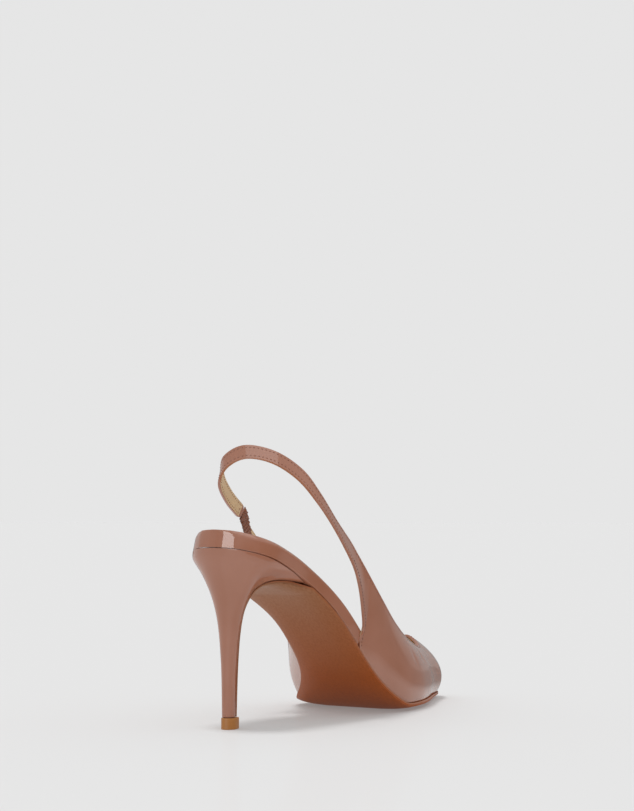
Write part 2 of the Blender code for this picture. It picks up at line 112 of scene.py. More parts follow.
Section = namedtuple("Section", "along arch spring inner outer")
SECTIONS = [
    Section(0.000, 1.000, 0.00, 0.310, 0.310),
    Section(0.060, 0.950, 0.00, 0.310, 0.310),
    Section(0.110, 0.905, 0.00, 0.309, 0.311),
    Section(0.165, 0.848, 0.00, 0.304, 0.312),
    Section(0.215, 0.780, 0.00, 0.292, 0.316),
    Section(0.260, 0.703, 0.00, 0.256, 0.334),
    Section(0.310, 0.592, 0.00, 0.184, 0.366),
    Section(0.350, 0.486, 0.00, 0.158, 0.382),
    Section(0.400, 0.352, 0.00, 0.164, 0.389),
    Section(0.450, 0.230, 0.00, 0.210, 0.392),
    Section(0.500, 0.129, 0.00, 0.312, 0.399),
    Section(0.545, 0.060, 0.00, 0.430, 0.408),
    Section(0.590, 0.009, 0.00, 0.534, 0.412),
    Section(0.608, 0.000, 0.00, 0.544, 0.409),
    Section(0.680, 0.000, 0.00, 0.545, 0.378),
    Section(0.730, 0.000, 0.00, 0.496, 0.330),
    Section(0.770, 0.000, 0.10, 0.448, 0.284),
    Section(0.830, 0.000, 0.32, 0.362, 0.200),
    Section(0.900, 0.000, 0.60, 0.230, 0.112),
    Section(0.960, 0.000, 0.84, 0.122, 0.040),
    Section(1.000, 0.000, 1.00, 0.066, 0.014),
]

HeelRow = namedtuple("HeelRow", "down back half front front_half")
HEEL_ROWS = [
    HeelRow(0.000, 0.000, 1.000, 1.000, 0.950),
    HeelRow(0.033, 0.010, 0.960, 0.856, 0.740),
    HeelRow(0.076, 0.036, 0.830, 0.702, 0.580),
    HeelRow(0.120, 0.072, 0.690, 0.596, 0.450),
    HeelRow(0.180, 0.116, 0.560, 0.515, 0.325),
    HeelRow(0.257, 0.156, 0.432, 0.462, 0.225),
    HeelRow(0.340, 0.180, 0.330, 0.427, 0.160),
    HeelRow(0.430, 0.196, 0.258, 0.404, 0.128),
    HeelRow(0.550, 0.208, 0.202, 0.385, 0.106),
    HeelRow(0.750, 0.217, 0.152, 0.365, 0.094),
    HeelRow(1.000, 0.223, 0.133, 0.354, 0.085),
]

VampRow = namedtuple("VampRow", "foot top across rise low high shoulder out_low out_high")
VAMP_ROWS = [
    VampRow(1.000, 0.832, 0.000, 0.940, 0.44, 0.16, 0.48, 0.128, 0.000),
    VampRow(0.977, 0.820, 0.098, 0.871, 0.44, 0.16, 0.46, 0.120, 0.004),
    VampRow(0.933, 0.790, 0.176, 0.808, 0.44, 0.16, 0.44, 0.092, 0.010),
    VampRow(0.858, 0.738, 0.236, 0.846, 0.46, 0.18, 0.40, 0.062, 0.018),
    VampRow(0.775, 0.675, 0.294, 0.932, 0.46, 0.22, 0.36, 0.050, 0.022),
    VampRow(0.683, 0.610, 0.358, 1.036, 0.42, 0.26, 0.34, 0.048, 0.022),
    VampRow(0.592, 0.543, 0.396, 1.236, 0.40, 0.30, 0.32, 0.042, 0.020),
    VampRow(0.504, 0.482, 0.415, 1.514, 0.36, 0.32, 0.32, 0.036, 0.018),
    VampRow(0.410, 0.440, 0.418, 1.742, 0.34, 0.32, 0.33, 0.030, 0.012),
]
INNER_LOW = 0.085
INNER_HIGH = 0.036
FULL_FROM = 0.96
FULL_TO = 0.70

WingRow = namedtuple("WingRow", "rear rear_across rear_rise top across rise")
OUTER_WING_ROWS = [
    WingRow(0.398, 0.412, 0.336, 0.421, 0.412, 0.543),
    WingRow(0.384, 0.432, 0.422, 0.398, 0.404, 0.588),
    WingRow(0.366, 0.440, 0.511, 0.375, 0.398, 0.630),
    WingRow(0.341, 0.436, 0.592, 0.352, 0.392, 0.672),
]
INNER_WING_ROWS = [
    WingRow(0.398, 0.225, 0.330, 0.421, 0.416, 0.543),
    WingRow(0.386, 0.300, 0.410, 0.398, 0.408, 0.588),
    WingRow(0.366, 0.352, 0.505, 0.373, 0.396, 0.630),
    WingRow(0.334, 0.374, 0.605, 0.344, 0.386, 0.680),
    WingRow(0.298, 0.378, 0.686, 0.309, 0.380, 0.730),
    WingRow(0.286, 0.364, 0.738, 0.294, 0.364, 0.758),
]

SlingRow = namedtuple("SlingRow", "along across rise lean")
SLING_ROWS = [
    SlingRow(0.278, -0.420, 0.737, 34),
    SlingRow(0.228, -0.380, 0.838, 34),
    SlingRow(0.189, -0.306, 0.923, 32),
    SlingRow(0.143, -0.188, 0.985, 30),
    SlingRow(0.098, -0.050, 1.003, 22),
    SlingRow(0.082, 0.082, 0.966, 16),
    SlingRow(0.114, 0.192, 0.908, 13),
    SlingRow(0.174, 0.260, 0.842, 11),
    SlingRow(0.246, 0.306, 0.780, 10),
]
GORE_END = (0.296, 0.332, 0.672)
GORE_REACH = 0.0045

# At a wing's joint, share of its run that a column leans forward by, and the distances in rows between
# which the lean fades
JOINT_LEAN = 0.55
LEAN_FADES = (0.7, 1.5)

# Round ends of the strap's tab and of the inner wing, and the least share of the width there
TAB_TIP = 0.0030
WING_TIP = 0.0020
TIP_LEAST = 0.45

# Stretches of the footbed along the last, and places across it and up its rim, in shares
BED_NARROWS = (0.379, 0.397)
BED_THINS = (0.410, 0.520)
BED_FLAT = 0.97
RIM_FOOT = 0.06
RIM_ROLLS = 0.64
DISH_ENDS = (0.360, 0.460)
DISH_FLAT = 0.62
DISH_RIM = 0.88
SOCK_EDGE = 0.80

# Shares of the heel: where a section is widest, and the top stretch that is drawn closer
HEEL_WIDEST = 0.47
HEEL_TOP = 0.3

# Number of the heel's section at which the sole's flap begins
FLAP_BEGINS = 4

# Half of the sole across, from its edge to its middle: place in shares of the half width, and share of
# the wall that is left there
SOLE_HALF = [
    (-1.0, 0.20), (-1.0, 0.46), (-0.95, 0.59), (-0.90, 0.70), (-0.81, 0.81), (-0.72, 0.90), (-0.585, 0.96),
    (-0.45, 1.0), (0.0, 1.0),
]

# Roundings of the pieces' edges, and the turns in degrees from which an edge is rounded
SHEET_TURN = 50.0
SOLID_TURN = 40.0
LEATHER_EDGE = 0.00035
LINING_EDGE = 0.00015
ELASTIC_EDGE = 0.0002
SOLID_EDGE = 0.0004
THIN_EDGE = 0.0002

# How far the lining reaches into the leather, the thread's place on each in shares of its width, and the
# share of the way in from an edge at which a seam's slope is read
LINING_OVERLAP = 0.00002
THREAD_STANDS = 0.12
THREAD_SINKS = 0.15
SLOPE_READ = 0.04

# The elastic's gathers: seed of their unevenness, how far a fold leans, the least height of one, how deep
# its edges are bitten, how far its face lies in from the solid's, and the share of its wall that is drawn
GATHER_SEED = 7
FOLD_LEAN = 0.5
FOLD_LEAST = 0.6
EDGE_BITE = 0.0004
ELASTIC_SINK = 0.0002
ELASTIC_SHARE = 0.7

# Sizes of the patterns in the materials, and where the sole's paler waist, painted light, turns into the
# darker tread, painted shade
PATCH = 0.030
KID_GRAIN = 0.0007
KID_PATCH = 0.014
FIBRE = 0.006
HIDE_LAYER = 0.0015
CAST_GRAIN = 0.0008
RIB = 0.00158
THREAD_TWIST = 0.0003
SOLE_LIGHT_TURNS = (0.048, 0.108)

# The drawing's own start is the heel's back, in the middle of the top lift
PLACE = Vector((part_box("heel")[0][0], (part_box("top_lift")[0][1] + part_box("top_lift")[1][1]) / 2.0, 0.0))

# Counts of the fine mesh
COLUMNS_PER_ROW = 12
ROWS_UP = 30
STATIONS = 110
END_STATIONS = 24
BED_STEPS = 14
SOCK_STEPS = 12
ROLL_STEPS = 8
SIDE_STEPS = 12
HEEL_STEPS = 40
FOLD_STEPS = 8
ELASTIC_STEPS = 12
TAB_STEPS = 8

# The camera, as the photograph was taken: place from the drawing's start in metres, angles in degrees,
# lens and film in millimetres
CAMERA_PLACE = Vector((-0.79389, -0.58659, 0.11036))
CAMERA_HEADING = 33.3
CAMERA_PITCH = 3.36
CAMERA_LENS = 84.34
FILM_HEIGHT = 36.0

# The sheet on the floor: half its size, its mirror's share and roughness, the way in which it ends as the
# gloss sees it, past the toe and to the outer side in radians, how softly, and the brightness beyond
FLOOR_HALF = 30.0
MIRROR_SHARE = 0.05
MIRROR_ROUGHNESS = 0.14
SHEET_HEADING = -0.36
SHEET_FADE = 0.07
BEYOND_SHEET = 0.36

# The room round the backdrop: cosines of the angle from the camera's way between which it begins, heights
# between which it darkens, a way and cosines where it is paler and its share there, its brightness, and
# the least share of it that the gloss sees everywhere
ROOM_BEGINS = (-0.97, -0.45)
ROOM_DARKENS = (0.60, 0.20)
PALE_WAY = (-0.2, 0.98, 0.0)
PALE_BEGINS = (0.45, 0.90)
PALE_SHARE = 0.35
ROOM_BRIGHTNESS = 0.16
GLOSS_DIMMED = 0.60

# Softboxes: degrees to the left of the camera as the shoe sees it, degrees up, and metres. Each aims at a
# height over the shoe's middle, but the bright floor lies at a height of its own and faces up.
Softbox = namedtuple("Softbox", "name azimuth elevation distance width height")
BEHIND_CAMERA = Softbox("softbox_behind", 24.0, 14.0, 1.6, 0.95, 0.90)
OVERHEAD = Softbox("light_above", -30.0, 66.0, 1.6, 1.4, 1.2)
BRIGHT_FLOOR = Softbox("floor_lit_by_softbox", 24.0, 0.0, 0.42, 0.14, 0.60)
BRIGHT_FLOOR_HEIGHT = 0.004
LAMP_AIM = 0.07

# The light that casts the shadow: its width and its turns in degrees
SUN_WIDTH = 15.0
SUN_TURN = (-7.0, -5.0)

# A small step along a curve, for its direction
NUDGE = 0.01

# A Mix node's sockets for colours, which it can only be asked for by number
FIRST = 6
SECOND = 7
MIXED = 2


def linear(code):
    """Linear colour from an sRGB hex code."""
    values = [int(code[i:i + 2], 16) / 255.0 for i in (0, 2, 4)]
    return tuple(v / 12.92 if v <= 0.04045 else ((v + 0.055) / 1.055) ** 2.4 for v in values)


def colour_property(name, code, description):
    return bpy.props.FloatVectorProperty(
        name=name, description=description, default=linear(code), subtype="COLOR", min=0.0, max=1.0
    )


def length_property(name, metres, description):
    return bpy.props.FloatProperty(
        name=name, description=description, default=metres, min=0.0, unit="LENGTH", precision=5
    )


def share_property(name, share, description):
    return bpy.props.FloatProperty(name=name, description=description, default=share, min=0.0, max=1.0)


def power_property(name, watts, description):
    return bpy.props.FloatProperty(name=name, description=description, default=watts, min=0.0, unit="POWER")


class PatentSettings(bpy.types.PropertyGroup):
    """Lacquered leather of the upper, the footbed's rim and the heel"""

    colour: colour_property("Leather", "B2755B", "Rose brown of the leather under the lacquer")
    deep: colour_property("Patches", "AB6C4F", "Warmer brown in wide patches")
    ripple: length_property("Ripple", 0.0045, "Length of the slow waves in the lacquer")
    pores: length_property("Pores", 0.0009, "Size of the leather's pores under the lacquer")
    gloss: share_property("Gloss roughness", 0.05, "Roughness of the lacquer")


class LiningSettings(bpy.types.PropertyGroup):
    """Soft kid leather inside the upper and on the footbed"""

    colour: colour_property("Lining", "EACBA0", "Cream of the lining")
    leather_wall: length_property("Leather wall", 0.00138, "Thickness of the lacquered leather")


class StitchSettings(bpy.types.PropertyGroup):
    """Thread along the edges of the upper"""

    thread: colour_property("Thread", "A2674F", "Thread dyed to match the leather")
    # The rear thread's dark brown is painted shade, standing for the dark stitch holes along the wings
    rear_thread: colour_property("Rear thread", "6B3F30", "Colour of the thread along the wings")
    pitch: length_property("Pitch", 0.0022, "Distance between stitches along the strap and topline")
    wing_pitch: length_property("Wing pitch", 0.0019, "The same along the rear edge of each wing")
    filled: share_property("Filled", 0.52, "Share of the pitch that a stitch fills")
    width: length_property("Width", 0.00040, "Width of the thread")
    margin: length_property("Margin", 0.0014, "Distance of the seam from the edge")
    rear_margin: length_property("Rear margin", 0.0018, "Distance of the wings' seam from their rear edge")
    tab_back: length_property("Tab seam", 0.0042, "Distance of the cross seam from the strap's end")


class ElasticSettings(bpy.types.PropertyGroup):
    """Gathered elastic between the strap and the inner wing"""

    colour: colour_property("Elastic", "9C5A38", "Brown of the elastic's cover")
    folds: bpy.props.IntProperty(name="Folds", description="Gathers along the elastic", default=9, min=1)
    depth: length_property("Fold depth", 0.0005, "Height of the gathers")


class SoleSettings(bpy.types.PropertyGroup):
    """Leather sole, its raw edge and the top lift"""

    # The tread's darker brown under the ball holds painted shade near the floor, and the waist's paler,
    # pinker colour is painted light and a painted reflection of the floor under the arch
    tread: colour_property("Tread", "A85520", "Burnished leather under the ball")
    waist: colour_property("Waist", "A57555", "Paler leather under the arch")
    edge: colour_property("Edge", "B4683A", "Raw cut edge of the sole")
    lift: colour_property("Top lift", "C17E3A", "Amber plastic of the top lift")


class StageSettings(bpy.types.PropertyGroup):
    """Floor, backdrop and lights"""

    backdrop: colour_property("Backdrop", "E6E6E6", "Pale grey of the floor and the backdrop")
    box_power: power_property("Softbox", 11.0, "Power of the softbox behind the camera")
    top_power: power_property("Top light", 5.0, "Power of the light overhead")
    bounce_power: power_property("Floor bounce", 0.03, "Power of the bright floor under the softbox")
    shadow: bpy.props.FloatProperty(
        name="Shadow light", description="Strength of the light that casts the floor's shadow", default=1.57,
        min=0.0,
    )
    floor_white: share_property("Floor white", 0.50, "Share of the light that the floor gives back")
    floor_glow: share_property("Floor glow", 0.262, "Share of the backdrop's brightness that the floor adds")
    sheet_reach: length_property("Sheet reach", 0.10, "Distance past the shoe where the gloss sees it end")


def slope_at(xs, ys, i):
    """Slope of the monotone cubic at point i."""
    if i == 0:
        return (ys[1] - ys[0]) / (xs[1] - xs[0])
    if i == len(xs) - 1:
        return (ys[-1] - ys[-2]) / (xs[-1] - xs[-2])
    before = (ys[i] - ys[i - 1]) / (xs[i] - xs[i - 1])
    after = (ys[i + 1] - ys[i]) / (xs[i + 1] - xs[i])
    if before * after <= 0.0:
        return 0.0
    return 2.0 * before * after / (before + after)


def monotone(xs, ys, x):
    """Cubic through the points that makes no new high or low."""
    x = max(xs[0], min(xs[-1], x))
    i = max(0, min(len(xs) - 2, bisect.bisect_right(xs, x) - 1))
    span = xs[i + 1] - xs[i]
    t = (x - xs[i]) / span
    start = slope_at(xs, ys, i) * span
    end = slope_at(xs, ys, i + 1) * span
    rise = ys[i + 1] - ys[i]
    return ys[i] + t * (start + t * (3.0 * rise - 2.0 * start - end + t * (start + end - 2.0 * rise)))


def read(rows, column, x):
    return monotone([row[0] for row in rows], [getattr(row, column) for row in rows], x)


def section(column, x):
    """A column of SECTIONS at x, averaged over a short stretch so that the curve bends evenly."""
    total = 0.0
    for place, weight in ((-1.0, 1.0), (-0.5, 2.0), (0.0, 3.0), (0.5, 2.0), (1.0, 1.0)):
        total += weight * read(SECTIONS, column, (x + place * SOFTENING) / LENGTH)
    return total / 9.0


def smooth(x, start, end):
    t = max(0.0, min(1.0, (x - start) / (end - start)))
    return t * t * (3.0 - 2.0 * t)


def sole_wall(x):
    """The sole is skived thinner towards the toe."""
    return SOLE_WALL - TOE_SKIVE * smooth(x, SKIVE_FROM * LENGTH, LENGTH)


def seat(x):
    """Height of the last's underside, which is the sole's upper face."""
    arch = section("arch", x) * (HEEL_HEIGHT - SOLE_WALL)
    return sole_wall(x) + arch + section("spring", x) * TOE_SPRING


def seat_normal(x):
    slope = (seat(x + STEP) - seat(x - STEP)) / (2.0 * STEP)
    return Vector((-slope, 0.0, 1.0)).normalized()


def end_round(x, start, end):
    """Share of the full width near a rounded end."""
    radius = SEAT_WIDTH / 2.0 - start
    if x < start + radius:
        return math.sqrt(max(0.0, 1.0 - ((start + radius - x) / radius) ** 2))
    if x > end - TOE_RADIUS:
        return math.sqrt(max(0.0, 1.0 - ((x - end + TOE_RADIUS) / TOE_RADIUS) ** 2))
    return 1.0


def outline(x, across, inset=0.0, start=0.0, end=SOLE_END):
    """Sideways place on the last: across runs from -1, the outer edge, to 1, the inner edge."""
    inner = section("inner", x) * BALL_WIDTH
    outer = section("outer", x) * BALL_WIDTH
    half = ((inner + outer) / 2.0 - inset) * end_round(x, start, end)
    return (inner - outer) / 2.0 + across * half


def stations(start, end):
    """Places along the shoe, closer together where an end is round."""
    radius = SEAT_WIDTH / 2.0 - start
    places = []
    first = start
    if start < radius:
        first = start + radius
        for i in range(1, END_STATIONS):
            places.append(start + radius * (1.0 - math.cos(0.5 * math.pi * i / END_STATIONS)))
    for i in range(STATIONS + 1):
        places.append(first + (end - TOE_RADIUS - first) * i / STATIONS)
    for i in range(1, END_STATIONS):
        places.append(end - TOE_RADIUS + TOE_RADIUS * math.sin(0.5 * math.pi * i / END_STATIONS))
    return places


def foot_point(x, side):
    """Where the upper meets the sole, a little inside the sole's edge."""
    place = Vector((x, outline(x, side, SOLE_LEDGE, 0.0, FOOT_END), seat(x)))
    place.z += GAP
    return place


def foot_outward(x, side):
    """Level direction out of the shoe at the foot of the upper."""
    if x >= FOOT_END:
        return Vector((1.0, 0.0, 0.0))
    low = x - STEP
    run = foot_point(low, side) - foot_point(low - STEP, side)
    return Vector((-run.y * side, run.x * side, 0.0)).normalized()


def middle_line(x):
    """The toe's middle line, which leaves the heel's towards the inner side."""
    return TOE_SHIFT * smooth(x, TOE_LEAVES * LENGTH, LENGTH)


def mix(rows, t):
    """Catmull-Rom curve through rows of vectors, t in rows."""
    last = len(rows) - 1
    i = max(0, min(last - 1, int(math.floor(t))))
    f = t - i
    b = rows[i]
    c = rows[i + 1]
    a = rows[i - 1] if i > 0 else b * 2.0 - c
    d = rows[i + 2] if i + 2 <= last else c * 2.0 - b
    curve = b * 2.0 + (c - a) * f
    curve += (a * 2.0 - b * 5.0 + c * 4.0 - d) * f * f
    curve += (b * 3.0 - a - c * 3.0 + d) * f * f * f
    return curve * 0.5


def bezier(points, t):
    a, b, c, d = points
    s = 1.0 - t
    return a * s ** 3 + b * 3.0 * s * s * t + c * 3.0 * s * t * t + d * t ** 3


def vamp_column(values, side):
    """The four handles of one column of the vamp or quarter, from its row's values."""
    foot, top, across, rise, low, high, shoulder, out_low, out_high = values
    x = min(foot, 1.0) * FOOT_END
    start = foot_point(x, side)
    y = middle_line(top * LENGTH) + side * across * BALL_WIDTH
    end = Vector((top * LENGTH, y, rise * VAMP_HEIGHT))
    outward = foot_outward(x, side)
    climb = end.z - start.z
    if side > 0.0:
        full = smooth(x, FULL_FROM * LENGTH, FULL_TO * LENGTH)
        out_low += INNER_LOW * full
        out_high += INNER_HIGH * full
    first = start + outward * out_low * BALL_WIDTH + Vector((0.0, 0.0, low * climb))
    second = end + (start - end) * shoulder
    second.z = end.z - high * climb
    second += outward * out_high * BALL_WIDTH
    return [start, first, second, end]


def straight_column(start, end):
    return [start, start.lerp(end, 1.0 / 3.0), start.lerp(end, 2.0 / 3.0), end]


def wing_column(row, side):
    start = Vector((row.rear * LENGTH, middle_line(row.rear * LENGTH), row.rear_rise * SLING_HEIGHT))
    start.y += side * row.rear_across * BALL_WIDTH
    end = Vector((row.top * LENGTH, middle_line(row.top * LENGTH), row.rise * SLING_HEIGHT))
    end.y += side * row.across * BALL_WIDTH
    return straight_column(start, end)


def sling_points():
    return [
        Vector((row.along * LENGTH, row.across * BALL_WIDTH, row.rise * SLING_HEIGHT))
        for row in SLING_ROWS
    ]


def strap_column(place, run, lean, width):
    """Both edges of a strap at a place: its top edge leans in by lean degrees."""
    outward = Vector((run.y, -run.x, 0.0)).normalized()
    if outward.dot(Vector((SLING_ROWS[0].along * LENGTH - place.x, -place.y, 0.0))) > 0.0:
        outward.negate()
    up = run.cross(outward)
    if up.z < 0.0:
        up.negate()
    up.normalize()
    angle = math.radians(lean)
    reach = (up * math.cos(angle) - outward * math.sin(angle)) * width / 2.0
    return straight_column(place - reach, place + reach)


def sling_columns():
    places = sling_points()
    columns = []
    for i, row in enumerate(SLING_ROWS):
        run = mix(places, i + NUDGE) - mix(places, i - NUDGE)
        columns.append(strap_column(places[i], run.normalized(), row.lean, SLING_WIDTH))
    return columns


def side_columns(side):
    """Columns from the toe's middle back to the wing, as lists of four handles.

    The second row is mirrored ahead of the first, so that both sides meet level at the toe's middle.
    """
    rows = [Vector(row) for row in VAMP_ROWS]
    mirrored = rows[1].copy()
    mirrored[2] = -mirrored[2]
    rows.insert(0, mirrored)
    steps = (len(rows) - 2) * COLUMNS_PER_ROW
    return [vamp_column(mix(rows, 1.0 + i / COLUMNS_PER_ROW), side) for i in range(steps + 1)]


def refine(before, columns):
    """More columns between the given ones, on smooth curves that go on from the column before them."""
    lines = [[column[k] for column in [before] + columns] for k in range(4)]
    made = []
    for i in range((len(columns) - 1) * COLUMNS_PER_ROW + 1):
        made.append([mix(line, 1.0 + i / COLUMNS_PER_ROW) for line in lines])
    return made


def lean_forward(columns, joint):
    """Leans the columns at a wing's joint forward, so that the sheet doesn't fold over itself there."""
    near, far = [rows * COLUMNS_PER_ROW for rows in LEAN_FADES]
    for i in range(joint - 2 * COLUMNS_PER_ROW, joint + 2 * COLUMNS_PER_ROW):
        start, first, second, end = columns[i]
        lean = (end.x - start.x) * JOINT_LEAN * smooth(abs(i - joint), far, near)
        columns[i] = [start, first + Vector((lean, 0.0, 0.0)), second, end]


def round_tip(columns, radius):
    """The last columns drawn in to a round end."""
    middles = [(column[0] + column[3]) / 2.0 for column in columns]
    left = 0.0
    for i in range(len(columns) - 1, 0, -1):
        if left >= radius:
            break
        share = max(TIP_LEAST, math.sqrt(1.0 - (1.0 - left / radius) ** 2))
        columns[i] = [middles[i] + (point - middles[i]) * share for point in columns[i]]
        left += (middles[i] - middles[i - 1]).length
    return columns


# The columns, and the numbers of those at the outer wing's start, its joint, the toe and the inner joint
Run = namedtuple("Run", "columns outer_wing outer_vamp toe inner_vamp")


def upper_run():
    """Every column of the upper in one run: strap tab, strap, outer side, toe, inner side, inner tab."""
    outer_vamp = side_columns(-1.0)
    inner_vamp = side_columns(1.0)
    outer_wing = [wing_column(row, -1.0) for row in OUTER_WING_ROWS]
    inner_wing = [wing_column(row, 1.0) for row in INNER_WING_ROWS]
    outer = refine(outer_vamp[-1 - COLUMNS_PER_ROW], [outer_vamp[-1]] + outer_wing + sling_columns())
    outer = round_tip(outer, TAB_TIP)
    inner = refine(inner_vamp[-1 - COLUMNS_PER_ROW], [inner_vamp[-1]] + inner_wing)
    inner = round_tip(inner, WING_TIP)
    columns = outer[::-1] + outer_vamp[-2:0:-1] + inner_vamp[:-1] + inner
    outer_joint = len(outer) - 1
    toe = outer_joint + len(outer_vamp) - 1
    inner_joint = toe + len(inner_vamp) - 1
    behind = COLUMNS_PER_ROW // 3
    lean_forward(columns, outer_joint - behind)
    lean_forward(columns, inner_joint + behind)
    return Run(columns, outer_joint - len(OUTER_WING_ROWS) * COLUMNS_PER_ROW, outer_joint, toe, inner_joint)


def skin_point(columns, i, t):
    return bezier(columns[i], t) + PLACE


def skin_normal(columns, i, t):
    """Direction out of the upper at column i, share t of the way up."""
    before = columns[max(0, i - 1)]
    after = columns[min(len(columns) - 1, i + 1)]
    along = bezier(after, t) - bezier(before, t)
    up = bezier(columns[i], min(1.0, t + 2.0 * NUDGE)) - bezier(columns[i], max(0.0, t - 2.0 * NUDGE))
    return along.cross(up).normalized()


# Soft troughs where the leather bends, on the outer side: share of the way from the toe back to the wing,
# share of the way up, half lengths along and up, turn in degrees, and depth, which is below 0 for a swell
Crease = namedtuple("Crease", "back up long tall turn depth")
CREASES = [
    Crease(0.62, 0.60, 0.0050, 0.0019, 62.0, 0.00042),
    Crease(0.50, 0.62, 0.0048, 0.0018, 55.0, 0.00036),
    Crease(0.30, 0.34, 0.0080, 0.0026, 20.0, 0.00020),
    Crease(0.42, 0.24, 0.0160, 0.0050, 8.0, -0.00020),
]


def crease_depth(place, run, normal):
    """How far the creases sink the leather at a place."""
    depth = 0.0
    for crease in CREASES:
        i = int(run.toe + (run.outer_vamp - run.toe) * crease.back)
        centre = skin_point(run.columns, i, crease.up)
        across = normal.cross(Vector((0.0, 0.0, 1.0))).normalized()
        up = across.cross(normal)
        offset = place - centre
        if offset.length > 3.0 * crease.long:
            continue
        turn = math.radians(crease.turn)
        u = offset.dot(across) * math.cos(turn) + offset.dot(up) * math.sin(turn)
        v = -offset.dot(across) * math.sin(turn) + offset.dot(up) * math.cos(turn)
        depth += crease.depth * math.exp(-((u / crease.long) ** 2 + (v / crease.tall) ** 2))
    return depth


def skin_grid(run):
    """The outer face of the upper as a grid of points, its creases drawn in."""
    grid = []
    for i in range(len(run.columns)):
        column = []
        for j in range(ROWS_UP + 1):
            place = skin_point(run.columns, i, j / ROWS_UP)
            if run.outer_vamp <= i <= run.toe:
                normal = skin_normal(run.columns, i, j / ROWS_UP)
                place = place - normal * crease_depth(place, run, normal)
            column.append(place)
        grid.append(column)
    return grid


def grid_faces(grid):
    count = len(grid[0])
    return [
        (i * count + j, (i + 1) * count + j, (i + 1) * count + j + 1, i * count + j + 1)
        for i in range(len(grid) - 1) for j in range(count - 1)
    ]


def new_object(name, mesh):
    made = bpy.data.objects.new(name, mesh)
    bpy.context.scene.collection.objects.link(made)
    return made


def grid_mesh(name, grid):
    """Sheet through a grid of points, with a UV map in metres along and up."""
    count = len(grid[0])
    mesh = bpy.data.meshes.new(name)
    mesh.from_pydata([tuple(point) for column in grid for point in column], [], grid_faces(grid))
    middle = count // 2
    along = [0.0]
    for i in range(1, len(grid)):
        along.append(along[-1] + (grid[i][middle] - grid[i - 1][middle]).length)
    heights = []
    for column in grid:
        total = [0.0]
        for j in range(1, count):
            total.append(total[-1] + (column[j] - column[j - 1]).length)
        heights.append(total)
    mesh.shade_smooth()
    uv = mesh.uv_layers.new(name="leather").data
    for loop in mesh.loops:
        i, j = divmod(loop.vertex_index, count)
        uv[loop.index].uv = (along[i], heights[i][j])
    return mesh


def applied(made, name):
    """The object's evaluated mesh as a plain mesh object, its modifiers gone."""
    bpy.context.view_layer.update()
    graph = bpy.context.evaluated_depsgraph_get()
    mesh = bpy.data.meshes.new_from_object(made.evaluated_get(graph))
    bpy.data.objects.remove(made, do_unlink=True)
    mesh.name = name
    return new_object(name, mesh)


def round_edges(made, width, angle):
    """Rounds the edges that turn by more than an angle in degrees."""
    soft = made.modifiers.new("rounding", "BEVEL")
    soft.width = width
    soft.segments = 3
    soft.limit_method = "ANGLE"
    soft.angle_limit = math.radians(angle)


def walled(name, grid, wall, rounding, look):
    """A sheet thickened inwards, its edges rounded, as a plain mesh."""
    made = new_object(name + "_sheet", grid_mesh(name, grid))
    thick = made.modifiers.new("wall", "SOLIDIFY")
    thick.thickness = wall
    thick.offset = -1.0
    thick.use_even_offset = False
    round_edges(made, rounding, SHEET_TURN)
    made.data.materials.append(made_once(look))
    return applied(made, name)


MADE = {}


def made_once(maker):
    """What a function makes, such as a material, made at its first use."""
    if maker not in MADE:
        MADE[maker] = maker()
    return MADE[maker]


def placed(made, slot, *nodes):
    """The piece rides on the shoe and stands for its solids, which it hides; its slot is not used."""
    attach(made, "root")
    if nodes:
        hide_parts(*nodes)


def add(tree, kind, inputs=None, out=0, **settings):
    """Adds a node and gives back one of its outputs, the first if none is named, or itself if it has none.

    An input takes a value or another node's output, and a colour goes in without its alpha.
    """
    node = tree.nodes.new(kind)
    for name, value in settings.items():
        setattr(node, name, value)
    for name, value in (inputs or {}).items():
        socket = node.inputs[name]
        if isinstance(value, bpy.types.NodeSocket):
            tree.links.new(value, socket)
        elif socket.type == "RGBA":
            socket.default_value = (*value, 1.0)
        else:
            socket.default_value = value
    return node.outputs[out] if node.outputs else node


def shaded(colour, share):
    """A colour at a share of its brightness."""
    return tuple(share * value for value in colour)


def new_material(name):
    """An empty material and its tree."""
    found = bpy.data.materials.new(name)
    found.use_nodes = True
    found.node_tree.nodes.clear()
    return found, found.node_tree


def finished(found, share, colours, shine, bump=None):
    """The material with two colours mixed by a share, its shader's other inputs, and those of its bump."""
    tree = found.node_tree
    mixed = {"Factor": share, FIRST: colours[0], SECOND: colours[1]}
    colour = add(tree, "ShaderNodeMix", mixed, MIXED, data_type="RGBA")
    inputs = {"Base Color": colour, **shine}
    if bump:
        inputs["Normal"] = add(tree, "ShaderNodeBump", bump)
    add(tree, "ShaderNodeOutputMaterial", {"Surface": add(tree, "ShaderNodeBsdfPrincipled", inputs)})
    return found


def patent_leather():
    """Calf leather under poured lacquer: a soft brown seen through a clear wet gloss with a slow ripple."""
    look = bpy.context.scene.pump_patent
    found, tree = new_material("patent_calf_leather_lacquered")
    place = add(tree, "ShaderNodeTexCoord", out="Object")
    cloud = add(tree, "ShaderNodeTexNoise", {"Vector": place, "Scale": 1.0 / PATCH, "Detail": 2.0})
    share = add(tree, "ShaderNodeMapRange", {"Value": cloud, "From Min": 0.35, "From Max": 0.70})
    cells = {"Vector": place, "Scale": 1.0 / look.pores}
    pores = add(tree, "ShaderNodeTexVoronoi", cells, feature="SMOOTH_F1")
    ripple = add(tree, "ShaderNodeTexNoise", {"Vector": place, "Scale": 1.0 / look.ripple, "Detail": 1.0})
    wet = add(tree, "ShaderNodeBump", {"Height": ripple, "Strength": 0.22, "Distance": 0.00012})
    shine = {
        "Roughness": 0.45, "Specular IOR Level": 0.15, "Coat Weight": 1.0, "Coat Roughness": look.gloss,
        "Coat IOR": 1.62, "Coat Normal": wet,
    }
    bump = {"Height": pores, "Strength": 0.10, "Distance": 0.0001}
    return finished(found, share, (look.colour, look.deep), shine, bump)


